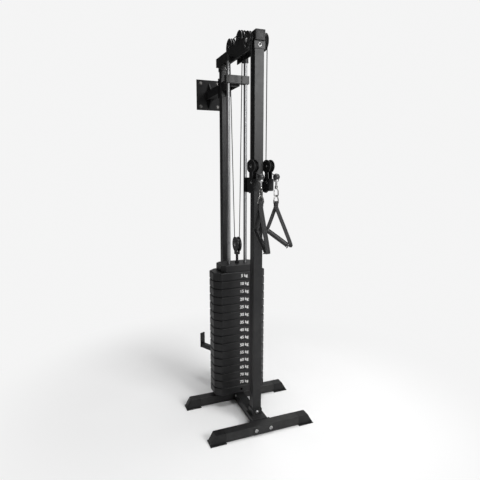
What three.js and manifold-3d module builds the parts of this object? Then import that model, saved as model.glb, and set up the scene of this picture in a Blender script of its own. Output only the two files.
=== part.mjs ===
// A wall-fixed pulley machine with a weight stack: two uprights on an H-shaped base, a top beam with
// sheaves, two guide rods, fifteen plates lifted by a floating pulley, and two swivelling pulley heads
// with stirrup handles. Millimetres, +Z up, X to the right, the front faces -Y. The origin is on the
// floor, in the middle of the machine's outline.

import * as THREE from 'three';
import { mergeVertices } from 'three/addons/utils/BufferGeometryUtils.js';
import Module from 'manifold-3d';

const wasm = await Module();
wasm.setup();

// Frame
const tubeSize = 50;
const tubeWall = 2.5;
const overallHeight = 2088;
const seatGap = 0.3;
const weldDepth = 1;
const cutOverrun = 2;
const frontBeamLength = 430;
const rearBeamLength = 486;
const beamSpacing = 378;
const padHeight = 5;
const padLip = 9;
const capTopLength = 58;
const capSlope = 30;
const capPlugLength = 30;
const clampPlateWidth = 116;
const clampPlateThickness = 3;
const clampBoltSpacing = 86;
const boltHeadRadius = 7;
const boltHeadHeight = 4;
const flangeThickness = 6;
const railBoltY = 135;
const railBoltSpacing = 200;
const railBoltZ = 41;

// Front upright and its foot socket; uprightFront is measured from the front beam's centre line
const uprightFront = 68;
const footPlateWidth = 86;
const footPlateThickness = 6;
const footPlateOverhang = 10;
const socketWall = 3.2;
const socketHeight = 36;
const gussetThickness = 6;
const footGussetLength = 73;
const footGussetHeight = 80;

// Rear upright, measured in the same way, with the wall plate behind it
const rearUprightFront = 561;
const wallFaceY = 905;
const wallPlateWidth = 172;
const wallPlateHeight = 194;
const wallPlateThickness = 6;
const wallPlateRise = 7;
const wallHoleSpacingX = 118;
const wallHoleSpacingZ = 148;
const wallHoleRadius = 6.5;
const wallVentRadius = 15;
const armDrop = 181;
const saddleHeight = 116;
const saddleWidth = 62;
const wallGussetReach = 62;
const wallRibWidth = 8;

// Storage hook on the rear upright's left side
const storageHookZ = 218;
const storageArmSize = 28;
const storageArmLength = 196;
const storageArmTurn = 27;
const storageTipHeight = 88;
const storageTipWidth = 36;
const storageTipThickness = 8;

// Top beam
const topBeamRear = 668;
const topEndThickness = 12;
const sidePlateThickness = 4;
const sidePlateDrop = 28;
const sidePlateFront = 133;
const sidePlateRear = 439;
const earRadius = 44;
const slotHalfWidth = 19;
const rodStrapDepth = 30;
const rodStrapThickness = 8;
const rodSocketRadius = 17;
const rodSocketHeight = 26;

// Lifting line and sheaves
const lineRadius = 2.4;
const lineSides = 8;
const lineEndGap = 0.8;
const grooveDepthGap = 1.3;
const grooveMouth = 7;
const flangeRise = 5;
const sheaveSides = 24;
const axleRadius = 6;
const boreGap = 0.4;
const topPitchRadius = 40;
const topAxleRise = 10;
const rearTopY = 430;
const midTopY = 275;
const laneOffset = 8;
const topSheaveWidth = 18;
const midSheaveWidth = 34;
const frontTopDrop = 41;
const frontPitchRadius = 38;
const frontSheaveWidth = 16;
const sideLineX = 43;
const sideLineY = 74;
const hubRadius = 8;
const liftPitchRadius = 38;

// Weight stack; its centre line is over the rear beam
const stackY = beamSpacing;
const stackBottomZ = 72;
const plateCount = 15;
const platePitch = 47.5;
const plateWidth = 324;
const plateDepth = 150;
const plateCorner = 38;
const plateBevel = 4;
const blockHoleRadius = 7;
const blockPadSpacing = 200;
const rodSpacing = 103;
const rodRadius = 10;
const rodBoreGap = 1.5;
const rodSides = 12;
const stemRadius = 14;
const stemBoreGap = 1.5;
const pinRadius = 5;
const pinHoleGap = 0.6;
const pinKnobRadius = 12;
const pinKnobLength = 25;
const pinReach = 5;
const headPlateWidth = 232;
const headPlateDepth = 138;
const headPlateHeight = 40;
const headPlateCorner = 24;
const liftCentreRise = 113;
const yokeCheekRadius = 44;
const yokeCheekThickness = 3;
const yokeNeckWidth = 26;
const yokeBridgeHeight = 14;
const liftSheaveWidth = 18;
const cheekGap = 1.5;
const liftStemRadius = 8;
const liftNutRadius = 14;
const liftNutHeight = 11;

// Guide crossbar
const crossbarWidth = 136;
const crossbarHeight = 42;
const crossbarDepth = 40;
const crossbarDrop = 173;
const crossbarPlateHeight = 120;
const crossbarPlateWidth = 60;
const crossbarPlateThickness = 6;
const crossbarGusset = 34;

// Swivelling pulley heads; local places are measured from the swivel axis, forward being -Y
const leftHeadTurn = 15;
const rightHeadTurn = 14;
const headPitchRadius = 20;
const headSheaveWidth = 18;
const headSheaveZ = 1437;
const headCheekRadius = 33;
const headCheekBack = 9;
const exitSlope = 25.7;
const headCheekThickness = 4.5;
const headNeckFront = 34;
const headNeckBack = 8;
const headBlockWidth = 30;
const headBlockTop = 1374;
const headBlockHeight = 62;
const headBlockFront = 46;
const headBlockRadius = 8;
const headBoltForward = 24;
const headBoltDrop = 16;
const swivelPinRadius = 5;
const earThickness = 6;
const swivelEarRadius = 12;
const swivelPlateThickness = 5;
const swivelWallWidth = 36;
const swivelWallStart = 106;
const swivelWallEnd = 112;

// Line end: ball stopper, swivel shank, snap hook and its gate
const ballRadius = 17.5;
const ballForward = 84;
const shankRadius = 5;
const shankLength = 26;
const shankFlangeRadius = 9;
const shankFlangeHeight = 7;
const collarRadius = 8;
const collarHeight = 12;
const hookWireRadius = 3;
const hookHalfWidth = 10;
const hookLength = 42;
const gateRadius = 2.4;
const gateLength = 27;

// Stirrup handles
const leftHandleTurn = -80;
const rightHandleTurn = -30;
const ringWireRadius = 3;
const ringHalfWidth = 17.5;
const ringHeight = 34;
const strapWidth = 28;
const strapThickness = 3.6;
const neckThickness = 9;
const neckLength = 24;
const leftFarSpread = 42;
const leftFarDrop = 118;
const leftNearSpread = 50;
const leftNearDrop = 216;
const rightFarSpread = 46;
const rightFarDrop = 118;
const rightNearSpread = 62;
const rightNearDrop = 196;
const gripRadius = 13;
const gripCoreRadius = 5;
const gripEndGap = 3;
const legMargin = 5;

// Values worked out from the ones above
const half = tubeSize / 2;
const beamTop = padHeight + tubeSize;
const topBeamBottom = overallHeight - tubeSize;
const armHeightZ = overallHeight - armDrop;
const wallPlateCentreZ = armHeightZ + wallPlateRise;
const crossbarZ = overallHeight - crossbarDrop;
const uprightRear = uprightFront + tubeSize;
const rearUprightRear = rearUprightFront + tubeSize;
const axleTopZ = overallHeight + topAxleRise;
const frontSheaveY = sideLineY + frontPitchRadius;
const frontSheaveZ = overallHeight - frontTopDrop;
const socketHalf = half + seatGap + socketWall;
const plateStackBottom = stackBottomZ + platePitch;
const plateStackTop = plateStackBottom + plateCount * platePitch;
const headPlateTop = plateStackTop + headPlateHeight;
const liftCentreZ = headPlateTop + liftCentreRise;
const plateRear = stackY + plateDepth / 2;
const sheaveOuter = topPitchRadius + flangeRise;
const sidePlateBottom = topBeamBottom - sidePlateDrop;
const cheekInner = headSheaveWidth / 2 + cheekGap;
const exitAngle = THREE.MathUtils.degToRad(exitSlope);
const exitForward = headPitchRadius * (1 - Math.sin(exitAngle));
const exitZ = headSheaveZ - headPitchRadius * Math.cos(exitAngle);
const ballZ = exitZ - (ballForward - exitForward) * Math.tan(exitAngle);
const rodTop = topBeamBottom + weldDepth - rodSocketHeight - seatGap;
const slopeDrop = axleTopZ - frontSheaveZ + topPitchRadius - frontPitchRadius;
const leaveAngle = 90 + THREE.MathUtils.radToDeg(Math.atan2(slopeDrop, midTopY - frontSheaveY));

const coated = { color: 0x1b1b1d, roughness: 0.55, metalness: 0.35 };
const platePaint = { color: 0x161617, roughness: 0.5, metalness: 0.2 };
const chrome = { color: 0xc9ccd0, roughness: 0.12, metalness: 1 };
const plastic = { color: 0x101011, roughness: 0.42, metalness: 0 };
const capPlastic = { color: 0x3a3b3d, roughness: 0.6, metalness: 0 };
const webbing = { color: 0x141415, roughness: 0.9, metalness: 0 };
const rubber = { color: 0x0d0d0e, roughness: 0.8, metalness: 0 };
const lineSkin = { color: 0x0b0b0c, roughness: 0.35, metalness: 0 };

function toSolid(geometry) {
  const bare = geometry.clone();
  bare.deleteAttribute('normal');
  bare.deleteAttribute('uv');
  const merged = mergeVertices(bare, 1e-4);
  return new wasm.Manifold(new wasm.Mesh({
    numProp: 3,
    vertProperties: new Float32Array(merged.attributes.position.array),
    triVerts: new Uint32Array(merged.index.array),
  }));
}

function toGeometry(solid) {
  const mesh = solid.getMesh();
  const geometry = new THREE.BufferGeometry();
  geometry.setAttribute('position', new THREE.BufferAttribute(new Float32Array(mesh.vertProperties), 3));
  geometry.setIndex(new THREE.BufferAttribute(new Uint32Array(mesh.triVerts), 1));
  geometry.computeVertexNormals();
  return geometry;
}

function fuse(...pieces) {
  return toGeometry(pieces.map(toSolid).reduce((sum, piece) => sum.add(piece)));
}

function cut(body, ...tools) {
  return toGeometry(tools.map(toSolid).reduce((rest, tool) => rest.subtract(tool), toSolid(body)));
}

function box(x0, x1, y0, y1, z0, z1) {
  const geometry = new THREE.BoxGeometry(x1 - x0, y1 - y0, z1 - z0);
  return geometry.translate((x0 + x1) / 2, (y0 + y1) / 2, (z0 + z1) / 2);
}

// A plain cylinder along an axis; centre holds the other two coordinates in X, Y, Z order
function rod(axis, radius, from, to, centre, sides = rodSides) {
  const geometry = new THREE.CylinderGeometry(radius, radius, to - from, sides);
  geometry.translate(0, (from + to) / 2, 0);
  return layAlong(geometry, axis, centre);
}

// Turns a shape that stands along Y so that it lies along the named axis
function layAlong(geometry, axis, centre) {
  const [a, b] = centre;
  if (axis === 'x') return geometry.rotateZ(-Math.PI / 2).translate(0, a, b);
  if (axis === 'z') return geometry.rotateX(Math.PI / 2).translate(a, b, 0);
  return geometry.translate(a, 0, b);
}

// An outline extruded along an axis; its points hold the other two coordinates in X, Y, Z order
function prism(axis, outline, from, to, holes = []) {
  const turn = axis === 'y' ? -1 : 1;
  const toPoints = (list) => {
    const points = list.map(([a, b]) => new THREE.Vector2(a, turn * b));
    return THREE.ShapeUtils.isClockWise(points) ? points.reverse() : points;
  };
  const shape = new THREE.Shape(toPoints(outline));
  for (const hole of holes) shape.holes.push(new THREE.Path(toPoints(hole)));
  const geometry = new THREE.ExtrudeGeometry(shape, { depth: to - from, bevelEnabled: false });
  geometry.translate(0, 0, from);
  if (axis === 'x') return geometry.rotateX(Math.PI / 2).rotateZ(Math.PI / 2);
  if (axis === 'y') return geometry.rotateX(-Math.PI / 2);
  return geometry;
}

function circle(a, b, radius, sides = rodSides, start = 0, end = 2 * Math.PI) {
  const whole = end - start >= 2 * Math.PI;
  const steps = whole ? sides : sides + 1;
  return Array.from({ length: steps }, (_, i) => {
    const angle = start + ((end - start) * i) / sides;
    return [a + radius * Math.cos(angle), b + radius * Math.sin(angle)];
  });
}

function rectangle(a0, a1, b0, b1) {
  return [[a0, b0], [a1, b0], [a1, b1], [a0, b1]];
}

// A square tube with open ends along an axis, about a centre line
function squareTube(axis, from, to, a, b, width = tubeSize, height = tubeSize) {
  const inner = rectangle(
    a - width / 2 + tubeWall, a + width / 2 - tubeWall, b - height / 2 + tubeWall, b + height / 2 - tubeWall);
  return prism(axis, rectangle(a - width / 2, a + width / 2, b - height / 2, b + height / 2), from, to, [inner]);
}

// A grooved wheel on the X axis at (x, y, z), with one groove at each lane
function sheave(pitchRadius, width, lanes, x, y, z, bore = axleRadius + boreGap) {
  const outer = pitchRadius + flangeRise;
  const floor = pitchRadius - lineRadius - grooveDepthGap;
  const side = width / 2;
  const floorHalf = lineRadius + boreGap;
  const profile = [[bore, -side], [outer, -side]];
  for (const lane of lanes) {
    profile.push([outer, lane - grooveMouth], [floor, lane - floorHalf]);
    profile.push([floor, lane + floorHalf], [outer, lane + grooveMouth]);
  }
  profile.push([outer, side], [bore, side], [bore, -side]);
  const points = profile.map(([radius, along]) => new THREE.Vector2(radius, along));
  const wheel = new THREE.LatheGeometry(points, sheaveSides);
  return layAlong(wheel, 'x', [y, z]).translate(x, 0, 0);
}

// A path that runs straight from each point of a list to the next
class PointPath extends THREE.Curve {
  constructor(points) {
    super();
    this.points = points.map((point) => new THREE.Vector3(...point));
  }

  getPointAt(share) {
    return this.points[Math.round(share * (this.points.length - 1))].clone();
  }

  getTangentAt(share) {
    const last = this.points.length - 1;
    const i = Math.round(share * last);
    const before = this.points[i].clone().sub(this.points[Math.max(i - 1, 0)]).normalize();
    const after = this.points[Math.min(i + 1, last)].clone().sub(this.points[i]).normalize();
    return before.add(after).normalize();
  }
}

// A round bar or line through a list of points
function line(points, radius = lineRadius, sides = lineSides) {
  const section = new THREE.Shape(circle(0, 0, radius, sides).map(([a, b]) => new THREE.Vector2(a, b)));
  const extrudePath = new PointPath(points);
  return new THREE.ExtrudeGeometry(section, { steps: points.length - 1, extrudePath, bevelEnabled: false });
}

// Points on an arc about an axle along X; angles are in degrees from +Y towards +Z
function arcPoints(x, y, z, radius, startAngle, endAngle, steps) {
  return Array.from({ length: steps + 1 }, (_, i) => {
    const angle = THREE.MathUtils.degToRad(startAngle + ((endAngle - startAngle) * i) / steps);
    return [x, y + radius * Math.cos(angle), z + radius * Math.sin(angle)];
  });
}

const machine = new THREE.Group();

function addPiece(name, geometry, look, parent = machine) {
  const mesh = new THREE.Mesh(geometry, new THREE.MeshStandardMaterial(look));
  mesh.name = name;
  parent.add(mesh);
  return mesh;
}

// Cross beams, with plastic caps that carry the machine on the floor
function crossBeam(name, length, y, extras = []) {
  const beam = squareTube('x', -length / 2, length / 2, y, padHeight + half);
  addPiece(name, extras.length ? fuse(beam, ...extras) : beam, coated);
  for (const [side, word] of [[-1, 'left'], [1, 'right']]) {
    addPiece(`${name}_cap_${word}`, footCap(length / 2, y, side), capPlastic);
  }
}

function footCap(end, y, side) {
  const start = end + seatGap;
  const slopeEnd = start + capTopLength + capSlope;
  const outline = [[start, 0], [slopeEnd, 0], [slopeEnd, padHeight], [start + capTopLength, beamTop], [start, beamTop]];
  const body = prism('y', outline, y - half, y + half);
  const lip = box(start, slopeEnd + weldDepth, y - half - padLip, y + half + padLip, 0, padHeight - weldDepth);
  const inner = half - tubeWall - seatGap;
  const centreZ = padHeight + half;
  const plug = box(end - capPlugLength, start + weldDepth, y - inner, y + inner, centreZ - inner, centreZ + inner);
  const cap = fuse(body, lip, plug);
  return side > 0 ? cap : toGeometry(toSolid(cap).mirror([1, 0, 0]));
}

function clampPlate() {
  const front = -half;
  const middle = padHeight + half;
  const plate = box(-clampPlateWidth / 2, clampPlateWidth / 2, front - clampPlateThickness, front + weldDepth,
    padHeight + weldDepth, beamTop - weldDepth);
  const bolts = [-1, 1].map((side) => rod('y', boltHeadRadius, front - clampPlateThickness - boltHeadHeight, front,
    [(side * clampBoltSpacing) / 2, middle]));
  return [plate, ...bolts];
}

// Base rail from the front beam to the rear beam, with the socket that holds the front upright
function baseRail() {
  const start = half + seatGap;
  const end = beamSpacing - half - seatGap;
  const rail = squareTube('y', start, end, 0, padHeight + half);
  const flange = box(-clampPlateWidth / 2, clampPlateWidth / 2, start, start + flangeThickness, padHeight,
    beamTop + weldDepth);
  const plateTop = beamTop + footPlateThickness;
  const plate = box(-footPlateWidth / 2, footPlateWidth / 2, start, uprightRear + footPlateOverhang,
    beamTop - weldDepth, plateTop);
  const sleeveFront = uprightFront - seatGap - socketWall;
  const sleeveRear = uprightRear + seatGap + socketWall;
  const sleeve = socket((uprightFront + uprightRear) / 2, plateTop - weldDepth, plateTop + socketHeight);
  const sleeveBolt = rod('y', boltHeadRadius, sleeveFront - boltHeadHeight, sleeveFront + weldDepth,
    [0, plateTop + socketHeight / 2]);
  const gussetFront = sleeveRear - weldDepth;
  const gussetLow = beamTop - weldDepth;
  const gusset = prism('x', [[gussetFront, gussetLow], [gussetFront + footGussetLength, gussetLow],
    [gussetFront, gussetLow + footGussetHeight]], -gussetThickness / 2, gussetThickness / 2);
  const sideBolts = [railBoltY, railBoltY + railBoltSpacing].map((y) => rod('x', boltHeadRadius,
    -half - boltHeadHeight, weldDepth - half, [y, railBoltZ]));
  return fuse(rail, flange, plate, sleeve, sleeveBolt, gusset, ...sideBolts);
}

// A square sleeve round an upright's end
function socket(y, from, to) {
  const inner = half + seatGap;
  return prism('z', rectangle(-socketHalf, socketHalf, y - socketHalf, y + socketHalf), from, to,
    [rectangle(-inner, inner, y - inner, y + inner)]);
}

function frontUpright() {
  return squareTube('z', beamTop + footPlateThickness + seatGap, topBeamBottom - seatGap, 0,
    (uprightFront + uprightRear) / 2);
}

// Swivel bracket: two plates that reach round the upright from the rear, with walls and a pin on each side.
// Each ear narrows to a round nose, so that the head clears it as it turns
function swivelBracket() {
  const inner = half + seatGap;
  const outer = half + swivelWallWidth;
  const seat = uprightRear + seatGap;
  const rear = seat + swivelPlateThickness;
  const topEar = headBlockTop + seatGap;
  const lowEar = headBlockTop - headBlockHeight - seatGap - earThickness;
  const ear = [[inner, seat], [inner, sideLineY],
    ...circle(sideLineX, sideLineY, swivelEarRadius, 16, -Math.PI, Math.PI / 4), [outer, swivelWallStart], [outer, rear]];
  const outline = [...ear, ...ear.map(([x, y]) => [-x, y]).reverse()];
  const plates = [topEar, lowEar].map((z) => prism('z', outline, z, z + earThickness));
  const low = lowEar + weldDepth;
  const high = topEar + weldDepth;
  const back = box(-outer, outer, seat, rear, low, high);
  const fittings = [-1, 1].flatMap((side) => [
    box(Math.min(side * inner, side * outer), Math.max(side * inner, side * outer), swivelWallStart, swivelWallEnd,
      low, high),
    rod('z', swivelPinRadius, low, high, [side * sideLineX, sideLineY]),
    rod('z', boltHeadRadius, topEar + weldDepth, topEar + earThickness + boltHeadHeight, [side * sideLineX, sideLineY], 6),
    rod('z', boltHeadRadius, lowEar - boltHeadHeight, lowEar + weldDepth, [side * sideLineX, sideLineY], 6),
    rod('y', boltHeadRadius, rear - weldDepth, rear + boltHeadHeight,
      [0, headBlockTop - headBlockHeight / 2 + (side * headBlockHeight) / 4], 6),
  ]);
  return fuse(...plates, back, ...fittings);
}

// Rear upright, with the short floor rail in front of it and the storage hook on its left side
function rearUpright() {
  const y = (rearUprightFront + rearUprightRear) / 2;
  const tube = squareTube('z', padHeight - weldDepth, topBeamBottom - seatGap, 0, y);
  const rail = squareTube('y', beamSpacing + half + seatGap, rearUprightFront + weldDepth, 0, padHeight + half);
  const pad = box(-half - padLip, half + padLip, rearUprightFront - padLip, rearUprightRear + padLip, 0, padHeight);
  return fuse(tube, rail, pad, storageHook(y));
}

function storageHook(y) {
  const halfArm = storageArmSize / 2;
  const arm = box(-halfArm, halfArm, -halfArm / 2, storageArmLength, -halfArm, halfArm);
  const tip = box(-storageTipWidth / 2, storageTipWidth / 2, storageArmLength - storageTipThickness,
    storageArmLength, -halfArm, storageTipHeight);
  const hook = fuse(arm, tip);
  hook.rotateZ(THREE.MathUtils.degToRad(storageArmTurn));
  return hook.translate(-half, y, storageHookZ);
}

// Top beam: a tube slotted for the middle sheaves, its end plate, side plates with round ears, and the axles
function topBeam() {
  const middle = topBeamBottom + half;
  const tube = squareTube('y', uprightFront, topBeamRear, 0, middle);
  const slot = box(-slotHalfWidth, slotHalfWidth, midTopY - sheaveOuter - cutOverrun,
    rearTopY + sheaveOuter + cutOverrun, sidePlateBottom, axleTopZ);
  const plates = [-1, 1].map((side) => {
    const near = side * (half - weldDepth);
    const far = side * (half + sidePlateThickness);
    return prism('x', sidePlateOutline(), Math.min(near, far), Math.max(near, far));
  });
  const hubEnd = half + sidePlateThickness + boltHeadHeight;
  const axles = [rearTopY, midTopY].flatMap((y) => [
    rod('x', axleRadius, -half, half, [y, axleTopZ]),
    rod('x', hubRadius, -hubEnd, -half, [y, axleTopZ]),
    rod('x', hubRadius, half, hubEnd, [y, axleTopZ]),
  ]);
  const spacer = rod('x', hubRadius, topSheaveWidth / 2 - laneOffset + seatGap, half, [rearTopY, axleTopZ]);
  const reach = sideLineX + frontSheaveWidth / 2 + boltHeadHeight;
  const frontAxle = rod('x', axleRadius, -reach, reach, [frontSheaveY, frontSheaveZ]);
  const collarEnd = sideLineX - frontSheaveWidth / 2 - seatGap;
  const collar = rod('x', hubRadius, -collarEnd, collarEnd, [frontSheaveY, frontSheaveZ]);
  const socketLow = topBeamBottom - socketHeight;
  const sockets = [uprightFront, rearUprightFront].flatMap((front) => {
    const faceY = front - seatGap - socketWall;
    return [socket(front + half, socketLow, topBeamBottom + weldDepth),
      rod('y', boltHeadRadius, faceY - boltHeadHeight, faceY + weldDepth, [0, socketLow + socketHeight / 2])];
  });
  const endPlate = box(-half, half, uprightFront - topEndThickness, uprightFront + weldDepth,
    topBeamBottom + weldDepth, overallHeight);
  const strapTop = topBeamBottom + weldDepth;
  const strap = box(-rodSpacing / 2, rodSpacing / 2, stackY - rodStrapDepth / 2, stackY + rodStrapDepth / 2,
    strapTop - rodStrapThickness, strapTop);
  const rodSockets = [-1, 1].map((side) => rod('z', rodSocketRadius, strapTop - rodSocketHeight, strapTop,
    [(side * rodSpacing) / 2, stackY], 20));
  const slotted = cut(fuse(tube, ...plates, ...sockets), slot);
  return fuse(slotted, endPlate, strap, ...rodSockets, ...axles, spacer, frontAxle, collar);
}

function sidePlateOutline() {
  const rise = Math.asin((overallHeight - axleTopZ) / earRadius);
  const lower = -Math.acos((sidePlateRear - rearTopY) / earRadius);
  return [
    [sidePlateRear, sidePlateBottom], [sidePlateFront, sidePlateBottom], [sidePlateFront, overallHeight],
    ...circle(midTopY, axleTopZ, earRadius, 14, rise, Math.PI - rise).reverse(),
    ...circle(rearTopY, axleTopZ, earRadius, 18, lower, Math.PI - rise).reverse(),
  ];
}

// Crossbar that steadies the guide rods, with its arm and foot plate against the rear upright
function guideCrossbar() {
  const plateFront = rearUprightFront - seatGap - crossbarPlateThickness;
  const bar = box(-crossbarWidth / 2, crossbarWidth / 2, stackY - crossbarDepth / 2, stackY + crossbarDepth / 2,
    crossbarZ - crossbarHeight / 2, crossbarZ + crossbarHeight / 2);
  const armZ = crossbarZ - (tubeSize - crossbarHeight) / 2;
  const arm = squareTube('y', stackY + crossbarDepth / 2 - weldDepth, plateFront + weldDepth, 0, armZ);
  const plate = box(-crossbarPlateWidth / 2, crossbarPlateWidth / 2, plateFront,
    plateFront + crossbarPlateThickness, crossbarZ - crossbarPlateHeight / 2, crossbarZ + crossbarPlateHeight / 2);
  const bores = [-1, 1].map((side) => rod('z', rodRadius + boreGap, crossbarZ - tubeSize, crossbarZ + tubeSize,
    [(side * rodSpacing) / 2, stackY]));
  const lineGap = box(-slotHalfWidth, slotHalfWidth, rearTopY, rearTopY + 2 * topPitchRadius, armZ - tubeSize,
    armZ + tubeSize);
  const armLow = armZ - half + weldDepth;
  const gusset = prism('x', [[plateFront + weldDepth, armLow], [plateFront - crossbarGusset, armLow],
    [plateFront + weldDepth, armLow - crossbarGusset]], -gussetThickness / 2, gussetThickness / 2);
  return cut(fuse(cut(fuse(bar, arm), lineGap), plate, gusset), ...bores);
}

// Wall bracket: saddle plate, square arm, ribs and the plate that is screwed to the wall
function wallBracket() {
  const saddleStart = rearUprightRear + seatGap;
  const plateStart = wallFaceY - wallPlateThickness;
  const saddle = box(-saddleWidth / 2, saddleWidth / 2, saddleStart, saddleStart + wallPlateThickness,
    armHeightZ - saddleHeight / 2, armHeightZ + saddleHeight / 2);
  const arm = squareTube('y', saddleStart + wallPlateThickness - weldDepth, plateStart + weldDepth, 0,
    armHeightZ);
  const plate = box(-wallPlateWidth / 2, wallPlateWidth / 2, plateStart, wallFaceY,
    wallPlateCentreZ - wallPlateHeight / 2, wallPlateCentreZ + wallPlateHeight / 2);
  const ribs = [-1, 1].map((side) => {
    const edge = armHeightZ + side * (half - weldDepth);
    const tip = edge + side * wallGussetReach;
    return prism('x', [[plateStart + weldDepth, edge], [plateStart + weldDepth, tip],
      [plateStart - wallGussetReach, edge]], -wallRibWidth / 2, wallRibWidth / 2);
  });
  const holes = [-1, 1].flatMap((sideX) => [-1, 1].map((sideZ) => rod('y', wallHoleRadius, plateStart - cutOverrun,
    wallFaceY + cutOverrun, [(sideX * wallHoleSpacingX) / 2, wallPlateCentreZ + (sideZ * wallHoleSpacingZ) / 2])));
  const vent = rod('y', wallVentRadius, plateStart - cutOverrun, wallFaceY + cutOverrun, [0, armHeightZ]);
  return cut(fuse(saddle, arm, plate, ...ribs), ...holes, vent);
}

// Weight plates: chamfered corners, bevelled edges, bores for the rods and stem, a pin hole from the rear
function plateOutline(width, depth, corner) {
  const [a, b, c] = [width / 2, depth / 2, corner];
  return [[a - c, -b], [a, c - b], [a, b - c], [a - c, b], [c - a, b], [-a, b - c], [-a, c - b], [c - a, -b]];
}

function plateBody(width, depth, corner, height, bevel) {
  const shape = new THREE.Shape(plateOutline(width, depth, corner).map(([a, b]) => new THREE.Vector2(a, b)));
  const geometry = new THREE.ExtrudeGeometry(shape, {
    depth: height - 2 * bevel, bevelEnabled: true, bevelThickness: bevel, bevelSize: bevel, bevelOffset: -bevel,
    bevelSegments: 1,
  });
  return geometry.translate(0, 0, bevel);
}

// Bores for both guide rods through a plate of some height
function rodBores(gap, height) {
  return [-1, 1].map((side) => rod('z', rodRadius + gap, -cutOverrun, height + cutOverrun,
    [(side * rodSpacing) / 2, 0], 12));
}

const plateHeight = platePitch - seatGap;

function weightPlate() {
  const body = plateBody(plateWidth, plateDepth, plateCorner, plateHeight, plateBevel);
  const stemBore = rod('z', stemRadius + stemBoreGap, -cutOverrun, plateHeight + cutOverrun, [0, 0], 12);
  const pinHole = rod('y', pinRadius + pinHoleGap, 0, plateDepth, [0, plateHeight / 2], 10);
  return cut(body, ...rodBores(rodBoreGap, plateHeight), stemBore, pinHole);
}

function baseBlock() {
  const body = plateBody(plateWidth, plateDepth, plateCorner, plateHeight, plateBevel);
  const hole = rod('y', blockHoleRadius, -plateDepth, 2 * blockHoleRadius - plateDepth / 2, [0, plateHeight / 2], 12);
  const spacerHeight = stackBottomZ - beamTop - seatGap;
  const pads = [-1, 1].map((side) => {
    const middle = (side * blockPadSpacing) / 2;
    return box(middle - half, middle + half, -half, half, -spacerHeight, weldDepth);
  });
  return cut(fuse(body, ...pads), ...rodBores(boreGap, plateHeight), hole);
}

function headPlate() {
  const body = plateBody(headPlateWidth, headPlateDepth, headPlateCorner, headPlateHeight, plateBevel / 2);
  const bored = cut(body, ...rodBores(rodBoreGap, headPlateHeight)).translate(0, stackY, plateStackTop);
  const stem = rod('z', stemRadius, plateStackBottom + seatGap, plateStackTop + plateBevel, [0, stackY], 12);
  const holes = Array.from({ length: plateCount }, (_, i) => rod('y', pinRadius + pinHoleGap, stackY - stemRadius * 2,
    stackY + stemRadius * 2, [0, plateStackBottom + i * platePitch + plateHeight / 2], 8));
  return fuse(bored, cut(stem, ...holes));
}

function selectorPin() {
  const z = plateStackBottom + plateHeight / 2;
  const shaft = rod('y', pinRadius, stackY - pinReach, plateRear + seatGap * 2, [0, z], 12);
  const knob = rod('y', pinKnobRadius, plateRear + seatGap, plateRear + pinKnobLength, [0, z], 20);
  return fuse(shaft, knob);
}

// Floating pulley on the head plate's stem
function liftYoke() {
  const inner = liftSheaveWidth / 2 + cheekGap;
  const outer = inner + yokeCheekThickness;
  const bridgeTop = liftCentreZ - yokeCheekRadius - lineRadius;
  const bridgeBottom = bridgeTop - yokeBridgeHeight;
  const cheeks = [-outer, inner].flatMap((x) => [
    prism('x', circle(stackY, liftCentreZ, yokeCheekRadius, 28), x, x + yokeCheekThickness),
    box(x, x + yokeCheekThickness, stackY - yokeNeckWidth / 2, stackY + yokeNeckWidth / 2, bridgeBottom, liftCentreZ),
  ]);
  const bridge = box(-outer, outer, stackY - yokeNeckWidth / 2, stackY + yokeNeckWidth / 2, bridgeBottom, bridgeTop);
  const axle = rod('x', axleRadius, -outer, outer, [stackY, liftCentreZ]);
  const stem = rod('z', liftStemRadius, headPlateTop + seatGap, bridgeTop, [0, stackY]);
  const nut = rod('z', liftNutRadius, headPlateTop + seatGap, headPlateTop + liftNutHeight, [0, stackY], 6);
  return fuse(...cheeks, bridge, axle, stem, nut);
}

// Lines: from the floating pulley up to the top sheaves, and on to the swivelling heads
function strand(side, lowY, topY) {
  return line([[0, lowY, liftCentreZ + lineEndGap], [side * laneOffset, topY, axleTopZ - lineEndGap]]);
}

function liftLoop() {
  return line(arcPoints(0, stackY, liftCentreZ, liftPitchRadius, 180, 360, 14));
}

function sideLine(side) {
  const lane = side * laneOffset;
  const x = side * sideLineX;
  const overRear = arcPoints(lane, rearTopY, axleTopZ, topPitchRadius, 0, 90, 5);
  const overMiddle = arcPoints(lane, midTopY, axleTopZ, topPitchRadius, side < 0 ? 90 : 0, leaveAngle, side < 0 ? 1 : 6);
  const overFront = arcPoints(x, frontSheaveY, frontSheaveZ, frontPitchRadius, leaveAngle, 180, 4);
  const end = [x, sideLineY, headSheaveZ + lineEndGap];
  return line([...(side < 0 ? overRear : []), ...overMiddle, ...overFront, end]);
}

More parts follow.
